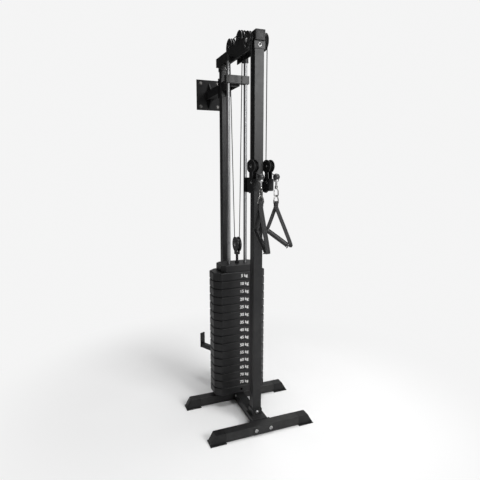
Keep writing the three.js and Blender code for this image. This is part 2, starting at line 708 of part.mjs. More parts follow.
// Swivelling head: two cheek discs round the sheave, on a rounded block that turns on the bracket's pin
function swivelHead() {
  const bottom = headBlockTop - headBlockHeight;
  const outer = cheekInner + headCheekThickness;
  const r = headBlockRadius;
  const block = prism('x', [
    ...circle(r - headBlockFront, bottom + r, r, 4, Math.PI, 1.5 * Math.PI),
    ...circle(headCheekBack - r, bottom + r, r, 4, 1.5 * Math.PI, 2 * Math.PI), [headCheekBack, headBlockTop],
    [-headBlockFront, headBlockTop],
  ], -headBlockWidth / 2, headBlockWidth / 2);
  const bore = rod('z', swivelPinRadius + boreGap, bottom - cutOverrun, headBlockTop + cutOverrun, [0, 0]);
  const flat = Math.acos((headCheekBack + headPitchRadius) / headCheekRadius);
  const disc = circle(-headPitchRadius, headSheaveZ, headCheekRadius, 26, flat, 2 * Math.PI - flat);
  const cheeks = [-outer, cheekInner].flatMap((x) => [
    prism('x', disc, x, x + headCheekThickness),
    box(x, x + headCheekThickness, -headNeckFront, -headNeckBack, headBlockTop - headBoltDrop, headSheaveZ),
  ]);
  const boltEnd = outer + boltHeadHeight;
  const axle = rod('x', axleRadius, -boltEnd, boltEnd, [-headPitchRadius, headSheaveZ]);
  const bolt = rod('x', boltHeadRadius, -boltEnd, boltEnd, [-headBoltForward, headBlockTop - headBoltDrop]);
  return cut(fuse(block, ...cheeks, axle, bolt), bore);
}

function headLine() {
  const turn = arcPoints(0, -headPitchRadius, headSheaveZ, headPitchRadius, 0, exitSlope - 90, 7);
  const reach = ballRadius + seatGap;
  const end = [0, reach * Math.cos(exitAngle) - ballForward, ballZ + reach * Math.sin(exitAngle)];
  return line([...turn, end]);
}

// Ball stopper with the swivel shank under it
function stopper() {
  const ball = new THREE.SphereGeometry(ballRadius, 16, 10);
  ball.rotateX(Math.PI / 2);
  const shank = rod('z', shankRadius, -ballRadius - shankLength, 0, [0, 0], 12);
  const flange = rod('z', shankFlangeRadius, -ballRadius - shankFlangeHeight, -ballRadius + shankFlangeHeight / 2,
    [0, 0]);
  return fuse(ball, flange, shank).translate(0, -ballForward, ballZ);
}

// Snap hook: collar and bent wire in the handle's plane, then its gate
const hookTop = ballZ - ballRadius - shankLength - seatGap;
const collarBottom = hookTop - collarHeight;
const bowZ = collarBottom - hookLength + hookHalfWidth;
const gateTopZ = bowZ + gateLength;
const gateLowZ = bowZ + 2 * seatGap;

function snapHook() {
  const collar = rod('z', collarRadius, collarBottom, hookTop, [0, 0], 14);
  const bow = Array.from({ length: 9 }, (_, i) => {
    const angle = (-Math.PI * i) / 8;
    return [hookHalfWidth * Math.cos(angle), 0, bowZ + hookHalfWidth * Math.sin(angle)];
  });
  const wire = line([[0, 0, collarBottom + weldDepth], [hookHalfWidth, 0, collarBottom - hookHalfWidth], ...bow,
    [-hookHalfWidth, 0, bowZ + seatGap]], hookWireRadius);
  const spur = line([[0, 0, collarBottom + weldDepth], [-hookHalfWidth + gateRadius, 0, gateTopZ + weldDepth]],
    hookWireRadius);
  return fuse(collar, wire, spur);
}

function hookGate() {
  return line([[-hookHalfWidth, 0, gateLowZ], [-hookHalfWidth, 0, gateTopZ - gateRadius - seatGap]], gateRadius);
}

// Stirrup: D-ring, sewn neck, two webbing legs and the core that the grip turns on
const ringTopZ = bowZ - hookHalfWidth + hookWireRadius + ringWireRadius + seatGap;
const ringBarZ = ringTopZ - ringHeight;
const neckBottom = ringBarZ - neckLength;

function stirrup(ends) {
  const bow = Array.from({ length: 13 }, (_, i) => {
    const angle = (Math.PI * i) / 12;
    return [0, ringHalfWidth * Math.cos(angle), ringBarZ + ringHeight * Math.sin(angle)];
  });
  const ring = line(bow, ringWireRadius);
  const barEnd = ringHalfWidth + ringWireRadius;
  const bar = rod('y', ringWireRadius, -barEnd, barEnd, [0, ringBarZ], 8);
  const loop = rod('y', ringWireRadius + strapThickness, -strapWidth / 2, strapWidth / 2, [0, ringBarZ], 14);
  const neck = box(-neckThickness / 2, neckThickness / 2, -strapWidth / 2, strapWidth / 2,
    neckBottom - strapThickness, ringBarZ);
  const start = new THREE.Vector2(0, neckBottom);
  const pastFar = ends.far.clone().addScaledVector(ends.along, -legMargin);
  const pastNear = ends.near.clone().addScaledVector(ends.along, legMargin);
  const shoulder = pastNear.clone().addScaledVector(ends.up, gripRadius + strapThickness);
  const legs = [strapLeg([start, pastFar]), strapLeg([start, shoulder, pastNear])];
  return fuse(ring, bar, loop, neck, ...legs, gripBar(ends, gripCoreRadius, -legMargin));
}

// The grip's axis runs from the end of the far leg to the end of the near one
function gripEnds(farSpread, farDrop, nearSpread, nearDrop) {
  const far = new THREE.Vector2(-farSpread, neckBottom - farDrop);
  const near = new THREE.Vector2(nearSpread, neckBottom - nearDrop);
  const along = near.clone().sub(far).normalize();
  return { far, near, along, up: new THREE.Vector2(-along.y, along.x) };
}

// A strap of even thickness along some points
function strapLeg(points) {
  const sides = points.map((point, i) => {
    const before = point.clone().sub(points[Math.max(i - 1, 0)]).normalize();
    const after = points[Math.min(i + 1, points.length - 1)].clone().sub(point).normalize();
    const along = before.add(after).normalize();
    return new THREE.Vector2(-along.y, along.x).multiplyScalar(strapThickness / 2);
  });
  return prism('y', [
    ...points.map((point, i) => [point.x + sides[i].x, point.y + sides[i].y]),
    ...points.map((point, i) => [point.x - sides[i].x, point.y - sides[i].y]).reverse(),
  ], -strapWidth / 2, strapWidth / 2);
}

// A round bar along the grip's axis, shortened by a margin at each end
function gripBar(ends, radius, margin, bore = 0) {
  const middle = ends.far.clone().add(ends.near).divideScalar(2);
  const length = ends.far.distanceTo(ends.near) - 2 * margin;
  const profile = [[bore, -length / 2], [radius, -length / 2], [radius, length / 2], [bore, length / 2]];
  if (bore) profile.push(profile[0]);
  const body = new THREE.LatheGeometry(profile.map(([a, b]) => new THREE.Vector2(a, b)), 20);
  const along = new THREE.Vector3(ends.along.x, 0, ends.along.y);
  body.applyQuaternion(new THREE.Quaternion().setFromUnitVectors(new THREE.Vector3(0, 1, 0), along));
  return body.translate(middle.x, 0, middle.y);
}

// Builds everything that hangs from one side line
function side(word, sign, headTurn, handleTurn, ends) {
  const head = new THREE.Group();
  head.position.set(sign * sideLineX, sideLineY, 0);
  head.rotation.z = THREE.MathUtils.degToRad(headTurn);
  machine.add(head);
  addPiece(`${word}_swivel_head`, swivelHead(), coated, head);
  addPiece(`${word}_head_sheave`, sheave(headPitchRadius, headSheaveWidth, [0], 0, -headPitchRadius, headSheaveZ),
    plastic, head);
  addPiece(`${word}_head_line`, headLine(), lineSkin, head);
  addPiece(`${word}_ball_stopper`, stopper(), rubber, head);
  const hanging = new THREE.Group();
  hanging.position.set(0, -ballForward, 0);
  hanging.rotation.z = THREE.MathUtils.degToRad(handleTurn - headTurn);
  head.add(hanging);
  addPiece(`${word}_snap_hook`, snapHook(), chrome, hanging);
  addPiece(`${word}_hook_gate`, hookGate(), chrome, hanging);
  addPiece(`${word}_stirrup`, stirrup(ends), webbing, hanging);
  addPiece(`${word}_grip`, gripBar(ends, gripRadius, gripEndGap, gripCoreRadius + boreGap), rubber, hanging);
}

crossBeam('front_beam', frontBeamLength, 0, clampPlate());
crossBeam('rear_beam', rearBeamLength, beamSpacing);
addPiece('base_rail', baseRail(), coated);
addPiece('front_upright', frontUpright(), coated);
addPiece('rear_upright', rearUpright(), coated);
addPiece('top_beam', topBeam(), coated);
addPiece('swivel_bracket', swivelBracket(), coated);
addPiece('guide_crossbar', guideCrossbar(), coated);
addPiece('wall_bracket', wallBracket(), coated);

for (const [word, sign] of [['left', -1], ['right', 1]]) {
  const guide = rod('z', rodRadius, beamTop + seatGap, rodTop, [(sign * rodSpacing) / 2, stackY]);
  addPiece(`guide_rod_${word}`, guide, chrome);
}

addPiece('stack_base_block', baseBlock(), platePaint).position.set(0, stackY, stackBottomZ);
const plateGeometry = weightPlate();
for (let i = 0; i < plateCount; i += 1) {
  const label = String(5 * (plateCount - i)).padStart(2, '0');
  const plate = addPiece(`weight_plate_${label}`, plateGeometry, platePaint);
  plate.position.set(0, stackY, plateStackBottom + i * platePitch);
}
addPiece('head_plate', headPlate(), platePaint);
addPiece('selector_pin', selectorPin(), plastic);
addPiece('lift_yoke', liftYoke(), plastic);
addPiece('lift_sheave', sheave(liftPitchRadius, liftSheaveWidth, [0], 0, stackY, liftCentreZ), plastic);

const rearLane = -laneOffset;
addPiece('rear_top_sheave', sheave(topPitchRadius, topSheaveWidth, [0], rearLane, rearTopY, axleTopZ), plastic);
addPiece('mid_top_sheave', sheave(topPitchRadius, midSheaveWidth, [-laneOffset, laneOffset], 0, midTopY, axleTopZ),
  plastic);
for (const [word, sign] of [['left', -1], ['right', 1]]) {
  addPiece(`front_top_sheave_${word}`, sheave(frontPitchRadius, frontSheaveWidth, [0], sign * sideLineX,
    frontSheaveY, frontSheaveZ), plastic);
}

addPiece('left_strand', strand(-1, stackY + liftPitchRadius, rearTopY + topPitchRadius), lineSkin);
addPiece('right_strand', strand(1, stackY - liftPitchRadius, midTopY + topPitchRadius), lineSkin);
addPiece('lift_loop', liftLoop(), lineSkin);
addPiece('left_line', sideLine(-1), lineSkin);
addPiece('right_line', sideLine(1), lineSkin);

side('left', -1, leftHeadTurn, leftHandleTurn,
  gripEnds(leftFarSpread, leftFarDrop, leftNearSpread, leftNearDrop));
side('right', 1, rightHeadTurn, rightHandleTurn,
  gripEnds(rightFarSpread, rightFarDrop, rightNearSpread, rightNearDrop));

// The machine is centred on its own outline
machine.updateMatrixWorld(true);
const outline = new THREE.Box3().setFromObject(machine, true);
machine.position.y = -(outline.min.y + outline.max.y) / 2;

export default new THREE.Group().add(machine);
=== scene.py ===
import math

import bmesh
import bpy
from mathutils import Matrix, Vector


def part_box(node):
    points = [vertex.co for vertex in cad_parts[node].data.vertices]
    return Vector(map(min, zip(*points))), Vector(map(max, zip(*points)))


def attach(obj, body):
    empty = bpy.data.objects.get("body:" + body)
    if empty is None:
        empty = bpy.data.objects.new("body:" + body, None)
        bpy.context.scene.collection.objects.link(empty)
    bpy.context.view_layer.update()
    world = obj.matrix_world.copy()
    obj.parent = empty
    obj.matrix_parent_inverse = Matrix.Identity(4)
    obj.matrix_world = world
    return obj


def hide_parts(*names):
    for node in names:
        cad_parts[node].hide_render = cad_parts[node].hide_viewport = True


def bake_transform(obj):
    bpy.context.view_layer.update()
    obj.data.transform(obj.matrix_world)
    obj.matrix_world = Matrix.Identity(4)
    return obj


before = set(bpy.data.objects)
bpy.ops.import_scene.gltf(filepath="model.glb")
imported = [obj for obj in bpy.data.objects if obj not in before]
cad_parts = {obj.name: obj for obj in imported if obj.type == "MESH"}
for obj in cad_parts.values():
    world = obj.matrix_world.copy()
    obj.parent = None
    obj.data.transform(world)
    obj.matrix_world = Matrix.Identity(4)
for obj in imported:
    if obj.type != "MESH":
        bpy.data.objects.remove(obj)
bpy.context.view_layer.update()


# Camera. It stands to the left of the machine at about eye height and looks slightly down, with the lens
# that sees the whole machine as the photograph does.
wall_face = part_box("wall_bracket")[1].y
camera = bpy.data.objects.new("camera", bpy.data.cameras.new("camera"))
camera.data.lens = 31.43
camera.data.sensor_width = 36
camera.location = (-0.8789, wall_face - 2.8184, 1.4153)
camera.rotation_euler = (math.radians(80.6), 0, math.radians(-21.4))
bpy.context.scene.collection.objects.link(camera)
bpy.context.scene.camera = camera


# Frame of welded square tube in a satin black powder coat: cross beams, base rail, uprights, top beam, guide
# crossbar and the heads' bracket. The coat has a fine orange-peel skin, is rubbed a little shinier in places
# and is dusty by the floor.
class Shade:
    """A socket of a material's nodes: sums on it add Math nodes, and node() adds any other node."""

    def __init__(self, tree, socket=None):
        self.tree, self.socket = tree, socket

    def node(self, kind, settings, values, out=0):
        made = self.tree.nodes.new(kind)
        for name, value in settings.items():
            if name == "stops":
                ramp = made.color_ramp.elements
                while len(ramp) < len(value):
                    ramp.new(0.5)
                for stop, (place, colour) in zip(ramp, value):
                    stop.position, stop.color = place, colour
            else:
                setattr(made, name, value)
        self.feed(made, values)
        return Shade(self.tree, made.outputs[out])

    def feed(self, node, values):
        for name, value in values.items():
            if isinstance(value, Shade):
                self.tree.links.new(value.socket, node.inputs[name])
            else:
                node.inputs[name].default_value = value

    def math(self, operation, *others):
        return self.node("ShaderNodeMath", {"operation": operation}, dict(enumerate(others)))

    def __add__(self, other):
        return self.math("ADD", self, other)

    def __sub__(self, other):
        return self.math("SUBTRACT", self, other)

    def __rsub__(self, other):
        return self.math("SUBTRACT", other, self)

    def __mul__(self, other):
        return self.math("MULTIPLY", self, other)

    def __gt__(self, other):
        return self.math("GREATER_THAN", self, other)

    __radd__ = __add__
    __rmul__ = __mul__

    def sine(self):
        return self.math("SINE", self)

    def noise(self, scale, detail=2.0):
        return self.node("ShaderNodeTexNoise", {}, {"Vector": self, "Scale": scale, "Detail": detail}, "Fac")

    def ramp(self, *stops):
        full = [(place, (*colour, 1)) for place, colour in stops]
        return self.node("ShaderNodeValToRGB", {"stops": full}, {"Fac": self}, "Color")

    def rise(self, low, high):
        """0 below low, 1 above high, and a smooth step between; low may be the greater."""
        values = {"Value": self, "From Min": low, "From Max": high}
        return self.node("ShaderNodeMapRange", {"interpolation_type": "SMOOTHSTEP"}, values)

    def bump(self, height, strength=1.0):
        values = {"Height": self, "Distance": height, "Strength": strength}
        return self.node("ShaderNodeBump", {}, values, "Normal")


def new_finish(name):
    """A material, a place to start its nodes from and its shader."""
    material = bpy.data.materials.new(name)
    material.use_nodes = True
    return material, Shade(material.node_tree), material.node_tree.nodes["Principled BSDF"]


def dress(obj, material):
    obj.data.materials.clear()
    obj.data.materials.append(material)


def soften(name, width, material):
    """Gives a solid of the frame its material and rounds its edges."""
    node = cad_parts[name]
    dress(node, material)
    weld = node.modifiers.new("weld", "WELD")
    weld.merge_threshold = 0.00001
    flat = node.modifiers.new("flat", "DECIMATE")
    flat.decimate_type = "DISSOLVE"
    flat.angle_limit = math.radians(1)
    edge = node.modifiers.new("edge", "BEVEL")
    edge.width = width
    edge.segments = 2
    edge.limit_method = "ANGLE"
    edge.angle_limit = math.radians(25)
    edge.harden_normals = True


powder_coat, start, shader = new_finish("powder_coat")
place = start.node("ShaderNodeTexCoord", {}, {}, "Object")
peel = place.noise(650.0, 3.0)
cloud = place.noise(7.0, 4.0)
scuff = place.noise(38.0, 8.0)
height = place.node("ShaderNodeSeparateXYZ", {}, {"Vector": place}, "Z")
dust = height.node("ShaderNodeMapRange", {}, {"Value": height, "From Min": 0.16, "From Max": 0.0, "To Max": 0.5})
tone = cloud * 0.6 + scuff * 0.4 + dust * scuff * 0.5
start.feed(shader, {
    "Base Color": tone.ramp((0.28, (0.010, 0.010, 0.0105)), (0.55, (0.016, 0.016, 0.0165)),
                            (0.85, (0.03, 0.03, 0.029))),
    "Roughness": 0.3 + scuff * 0.12 + cloud * 0.08,
    "Normal": (peel + scuff * 0.3).bump(0.00012, 0.6),
    "Specular IOR Level": 0.24,
})
tube_edge = 0.0014
for name in ("front_beam", "rear_beam", "base_rail", "front_upright", "rear_upright", "top_beam", "guide_crossbar",
             "swivel_bracket"):
    soften(name, tube_edge, powder_coat)


# Wall bracket: a plate with an arm and ribs, welded from the same steel and coated black. It is handled less
# than the frame, so its coat has stayed dull and has gathered lint; its colour is painted darker than the frame's
# coat as painted shade.
shaded_matt_coat, start, shader = new_finish("shaded_matt_coat")
place = start.node("ShaderNodeTexCoord", {}, {}, "Object")
lint = place.noise(90.0, 8.0)
shade = place.noise(6.0, 3.0)
start.feed(shader, {
    # Base Color: darker than the frame's powder coat, painted shade for the bracket, which gets less light.
    "Base Color": (lint * 0.5 + shade * 0.5).ramp((0.3, (0.006, 0.006, 0.0063)), (0.75, (0.015, 0.015, 0.0152))),
    "Roughness": 0.5 + lint * 0.2,
    "Normal": (place.noise(650.0, 3.0) + lint * 0.4).bump(0.00012, 0.6),
    "Specular IOR Level": 0.1,
})
soften("wall_bracket", tube_edge, shaded_matt_coat)


# Foot caps: ribbed polypropylene mouldings pushed into the beams' ends, with a wide sole. Their skin has the
# fine leather grain of the mould.
cap_plastic, start, shader = new_finish("cap_plastic")
place = start.node("ShaderNodeTexCoord", {}, {}, "Object")
grain = place.node("ShaderNodeTexVoronoi", {}, {"Vector": place, "Scale": 850.0}, "Distance")
patch = place.noise(22.0, 5.0)
start.feed(shader, {
    "Base Color": patch.ramp((0.3, (0.008, 0.008, 0.0083)), (0.75, (0.017, 0.017, 0.0175))),
    "Roughness": 0.3 + patch * 0.16,
    "Normal": grain.bump(0.00018, 0.7),
    "Specular IOR Level": 0.2,
})
for beam in ("front_beam", "rear_beam"):
    for side in ("left", "right"):
        soften(f"{beam}_cap_{side}", 0.0012, cap_plastic)


# End plug of the top beam: the caps' plastic, moulded as a cushion-shaped square that is pressed in and
# covers the beam's front end.
def add_piece(name, mesh, material, body, smooth=35):
    """Adds a mesh as a piece that moves with a body, smooth but for its sharp edges."""
    obj = bpy.data.objects.new(name, mesh)
    bpy.context.scene.collection.objects.link(obj)
    dress(obj, material)
    mesh.shade_smooth()
    mesh.set_sharp_from_angle(angle=math.radians(smooth))
    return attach(obj, body)


def shell_mesh(name, rings, closed=False):
    """A skin over rings of points; a ring of one point closes it. UVs count metres along and across."""
    mesh = bmesh.new()
    layer = mesh.loops.layers.uv.new("UVMap")
    made = [[mesh.verts.new(point) for point in ring] for ring in rings]
    along = [0.0]
    for a, b in zip(rings, rings[1:]):
        along.append(along[-1] + (Vector(b[0]) - Vector(a[0])).length)
    pairs = list(zip(range(len(made)), range(1, len(made))))
    if closed:
        pairs.append((len(made) - 1, 0))
        along.append(along[-1] + (Vector(rings[0][0]) - Vector(rings[-1][0])).length)
    for i, j in pairs:
        a, b = made[i], made[j]
        count = max(len(a), len(b))
        for k in range(count):
            corners = [(a[k % len(a)], i, k), (a[(k + 1) % len(a)], i, k + 1), (b[(k + 1) % len(b)], i + 1, k + 1),
                       (b[k % len(b)], i + 1, k)]
            kept = [c for n, c in enumerate(corners) if c[0] not in [d[0] for d in corners[:n]]]
            if len(kept) < 3:
                continue
            face = mesh.faces.new([c[0] for c in kept])
            for loop, corner in zip(face.loops, kept):
                loop[layer].uv = (corner[2] / count, along[corner[1]])
    if not closed:
        for ring in (made[0], made[-1]):
            if len(ring) > 2:
                mesh.faces.new(ring)
    bmesh.ops.recalc_face_normals(mesh, faces=mesh.faces)
    data = bpy.data.meshes.new(name)
    mesh.to_mesh(data)
    mesh.free()
    return data


def rounded(width, depth, radius, steps=4):
    """Corner points of a rectangle with round corners, about (0, 0)."""
    points = []
    for turn, (a, b) in enumerate(((1, 1), (-1, 1), (-1, -1), (1, -1))):
        for i in range(steps + 1):
            angle = math.pi / 2 * (turn + i / steps)
            points.append((a * (width / 2 - radius) + radius * math.cos(angle),
                           b * (depth / 2 - radius) + radius * math.sin(angle)))
    return points


plug_seat, plug_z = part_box("top_beam")[0].y + 0.0058, 2.063
plug_rings = []
for forward, size, radius in ((0.0, 0.0504, 0.003), (0.0042, 0.0504, 0.003), (0.0058, 0.0488, 0.004),
                              (0.0064, 0.0455, 0.005)):
    plug_rings.append([(a, plug_seat - forward, plug_z + b) for a, b in rounded(size, size, radius)])
top_plug = add_piece("top_end_plug", shell_mesh("top_end_plug", plug_rings), cap_plastic, "frame")


# Bolts: zinc-plated button heads on flat washers, one over every bolt, axle and pin end of the frame. The
# plating is bright with faint turning rings and a little tarnish.
zinc, start, shader = new_finish("zinc_plate")
place = start.node("ShaderNodeTexCoord", {}, {}, "Object")
tarnish = place.noise(160.0, 6.0)
start.feed(shader, {
    "Base Color": tarnish.ramp((0.3, (0.40, 0.40, 0.39)), (0.7, (0.58, 0.58, 0.59))),
    "Roughness": 0.22 + tarnish * 0.18,
    "Normal": place.noise(2400.0).bump(0.00002, 0.5),
    "Metallic": 1.0,
})


def turned(name, profile, centre, axis, material, body, sides=28, closed=False):
    """A turned part: (radius, distance along the axis) points spun about an axis through a centre."""
    axis = Vector(axis).normalized()
    across = axis.orthogonal().normalized()
    third = axis.cross(across)
    rings = []
    for radius, along in profile:
        middle = Vector(centre) + axis * along
        if radius < 1e-7:
            rings.append([middle])
            continue
        turns = [2 * math.pi * i / sides for i in range(sides)]
        rings.append([middle + across * (radius * math.cos(t)) + third * (radius * math.sin(t)) for t in turns])
    piece = add_piece(name, shell_mesh(name, rings, closed), material, body)
    return piece


def button_bolt(name, seat, axis, body, radius=0.0072, height=0.0046):
    """A domed head with a hexagon socket on a washer; seat is the point where the washer lies."""
    profile = [(0, -0.0004), (radius * 1.28, -0.0004), (radius * 1.28, 0.0007), (radius * 1.2, 0.0011),
               (radius * 1.03, 0.0011), (radius * 1.03, height * 0.45)]
    profile += [(radius * math.cos(t), height * (0.45 + 0.6 * math.sin(t))) for t in (0.25, 0.55, 0.85, 1.1)]
    profile += [(radius * 0.42, height * 1.02), (radius * 0.36, height * 0.7), (0, height * 0.66)]
    return turned(name, profile, seat, axis, zinc, body, 24)


tube_bolt = (0.0076, 0.005)
axle_bolt = (0.0062, 0.0044)
front_low, front_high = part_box("front_beam")
front_middle = (front_high.z + 0.005) / 2
for side, x in (("left", -0.043), ("right", 0.043)):
    button_bolt(f"clamp_bolt_{side}", (x, front_low.y + 0.004, front_middle), (0, -1, 0), "frame", *tube_bolt)
off = wall_face - 0.905
for name, y in (("front", 0.135), ("rear", 0.335)):
    button_bolt(f"rail_bolt_{name}", (-0.0252, off + y, 0.041), (-1, 0, 0), "frame", *tube_bolt)
for name, y, z in (("foot_socket", 0.0645, 0.079), ("top_socket_front", 0.0645, 2.02),
                   ("top_socket_rear", 0.5575, 2.02)):
    button_bolt(f"{name}_bolt", (0, off + y, z), (0, -1, 0), "frame", *tube_bolt)
rear_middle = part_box("rear_top_sheave")
mid_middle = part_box("mid_top_sheave")
for name, box in (("rear_axle", rear_middle), ("mid_axle", mid_middle)):
    y, z = (box[0].y + box[1].y) / 2, (box[0].z + box[1].z) / 2
    for side, sign in (("left", -1), ("right", 1)):
        button_bolt(f"{name}_bolt_{side}", (sign * 0.0288, y, z), (sign, 0, 0), "frame", *axle_bolt)
front_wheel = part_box("front_top_sheave_left")
wheel_y, wheel_z = (front_wheel[0].y + front_wheel[1].y) / 2, (front_wheel[0].z + front_wheel[1].z) / 2
for side, sign in (("left", -1), ("right", 1)):
    button_bolt(f"front_axle_bolt_{side}", (sign * 0.0525, wheel_y, wheel_z), (sign, 0, 0), "frame", *tube_bolt)


# Wall screws: coach screws with flanged hexagon heads, browned black, one through each corner of the wall
# plate; only their heads show.
browned, start, shader = new_finish("browned_steel")
place = start.node("ShaderNodeTexCoord", {}, {}, "Object")
scale = place.noise(260.0, 6.0)
start.feed(shader, {
    "Base Color": scale.ramp((0.3, (0.05, 0.048, 0.046)), (0.7, (0.10, 0.098, 0.095))),
    "Roughness": 0.34 + scale * 0.22,
    "Normal": scale.bump(0.00006, 0.5),
    "Metallic": 0.85,
})
plate_half_height, screw_across, screw_up = 0.097, 0.059, 0.074
plate_front = wall_face - 0.006
plate_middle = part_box("wall_bracket")[1].z - plate_half_height
for side, x in (("left", -screw_across), ("right", screw_across)):
    for row, z in (("upper", plate_middle + screw_up), ("lower", plate_middle - screw_up)):
        flange = [(0, 0.004), (0.0062, 0.004), (0.0062, -0.0002), (0.0118, -0.0002), (0.0122, 0.0008),
                  (0.0085, 0.0022), (0, 0.0022)]
        turned(f"wall_screw_flange_{side}_{row}", flange, (x, plate_front, z), (0, -1, 0), browned, "frame", 28)
        hexagon = [(0, 0.0018), (0.0078, 0.0018), (0.0078, 0.0064), (0.007, 0.0074), (0, 0.0074)]
        turned(f"wall_screw_head_{side}_{row}", hexagon, (x, plate_front, z), (0, -1, 0), browned, "frame", 6)


# Guide rods: ground and hard-chromed steel bar that the plates slide on, with chamfered ends.
chrome, start, shader = new_finish("bright_chrome")
place = start.node("ShaderNodeTexCoord", {}, {}, "Object")
stretch = place.node("ShaderNodeMapping", {}, {"Vector": place, "Scale": (60.0, 60.0, 2.0)})
streak = stretch.noise(4.0, 3.0)
start.feed(shader, {
    "Base Color": streak.ramp((0.3, (0.22, 0.222, 0.225)), (0.7, (0.32, 0.322, 0.325))),
    "Roughness": 0.4 + streak * 0.12,
    "Metallic": 1.0,
})
rod_radius, rod_chamfer = 0.01, 0.0015
for side in ("left", "right"):
    low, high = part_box(f"guide_rod_{side}")
    length = high.z - low.z
    tip_radius = rod_radius - rod_chamfer
    profile = [(0, 0), (tip_radius, 0), (rod_radius, rod_chamfer)]
    profile += [(rod_radius, rod_chamfer + (length - 2 * rod_chamfer) * i / 24) for i in range(1, 25)]
    profile += [(tip_radius, length), (0, length)]
    rod = turned(f"{side}_guide_bar", profile, ((low.x + high.x) / 2, (low.y + high.y) / 2, low.z), (0, 0, 1),
                 chrome, "frame", 40)
    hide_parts(f"guide_rod_{side}")
    collar = [(0.0102, -0.004), (0.0168, -0.004), (0.0176, -0.0025), (0.0176, 0.001), (0.0102, 0.001)]
    turned(f"{side}_rod_collar", collar, ((low.x + high.x) / 2, (low.y + high.y) / 2, high.z), (0, 0, 1),
           powder_coat, "frame", 40, closed=True)


# Weight plates: cast iron in thick satin black paint, each with its load in white paint on the front. The
# casting's skin shows through the paint.
plate_paint, start, shader = new_finish("plate_paint")
place = start.node("ShaderNodeTexCoord", {}, {}, "Object")
cast = place.noise(190.0, 6.0)
swell = place.noise(26.0, 3.0)
blotch = place.noise(11.0, 5.0)
start.feed(shader, {
    "Base Color": (blotch * 0.6 + cast * 0.4).ramp((0.3, (0.009, 0.009, 0.0095)), (0.72, (0.022, 0.022, 0.0227))),
    "Roughness": 0.32 + blotch * 0.16 + cast * 0.06,
    "Normal": (cast + swell * 0.8).bump(0.00035, 0.5),
    "Specular IOR Level": 0.24,
})
plate_edge = 0.0009
for name in ("stack_base_block", "head_plate", *(f"weight_plate_{load:02d}" for load in range(5, 80, 5))):
    soften(name, plate_edge, plate_paint)

label_paint, start, shader = new_finish("label_paint")
place = start.node("ShaderNodeTexCoord", {}, {}, "Object")
worn = place.noise(420.0, 6.0)
start.feed(shader, {
    "Base Color": worn.ramp((0.26, (0.5, 0.5, 0.49)), (0.42, (0.82, 0.82, 0.81))),
    "Roughness": 0.5 + worn * 0.2,
    "Normal": worn.bump(0.0001, 0.4),
})
letter_size, paint_thickness, label_x = 0.0248, 0.0002, 0.017
for load in range(5, 80, 5):
    low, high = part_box(f"weight_plate_{load:02d}")
    words = bpy.data.curves.new("words", "FONT")
    words.body = f"{load} kg"
    words.align_x, words.align_y = "CENTER", "CENTER"
    words.size = letter_size
    words.extrude = paint_thickness
    words.offset = 0.0004
    holder = bpy.data.objects.new("words", words)
    bpy.context.scene.collection.objects.link(holder)
    holder.location = (label_x, low.y - paint_thickness, (low.z + high.z) / 2)
    holder.rotation_euler = (math.radians(90), 0, 0)
    bpy.context.view_layer.update()
    mesh = bpy.data.meshes.new_from_object(holder.evaluated_get(bpy.context.evaluated_depsgraph_get()))
    mesh.transform(holder.matrix_world)
    bpy.data.objects.remove(holder)
    add_piece(f"plate_label_{load:02d}", mesh, label_paint, "stack")


# Selector pin: a plated steel pin with a knob of hard black plastic, ribbed for the fingers and moulded on. It
# is pushed in from the rear.
hard_plastic, start, shader = new_finish("hard_plastic")
place = start.node("ShaderNodeTexCoord", {}, {}, "Object")
flow = place.noise(30.0, 4.0)
fine = place.noise(1100.0, 2.0)
start.feed(shader, {
    "Base Color": flow.ramp((0.3, (0.010, 0.010, 0.0105)), (0.7, (0.019, 0.019, 0.0195))),
    "Roughness": 0.26 + flow * 0.16,
    "Normal": (fine + flow).bump(0.00008, 0.4),
})
pin_low, pin_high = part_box("selector_pin")
pin_x, pin_z = (pin_low.x + pin_high.x) / 2, (pin_low.z + pin_high.z) / 2
knob_length, pin_radius = 0.0247, 0.005
knob_start = pin_high.y - knob_length
shaft_length = knob_start - pin_low.y + 0.001
knob = [(0, 0), (0.0095, 0), (0.0095, 0.004), (0.0102, 0.005)]
for i in range(4):
    knob += [(0.0117, 0.0062 + i * 0.0034), (0.0117, 0.0082 + i * 0.0034), (0.0109, 0.0088 + i * 0.0034)]
knob += [(0.0118, 0.0205), (0.0108, 0.0232), (0.007, 0.0245), (0, knob_length)]
pin = turned("pin_knob", knob, (pin_x, knob_start, pin_z), (0, 1, 0), hard_plastic, "pin", 36)
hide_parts("selector_pin")
shaft = [(0, 0), (0.0038, 0), (pin_radius, 0.002), (pin_radius, shaft_length), (0, shaft_length)]
turned("pin_shaft", shaft, (pin_x, pin_low.y, pin_z), (0, 1, 0), zinc, "pin", 24)


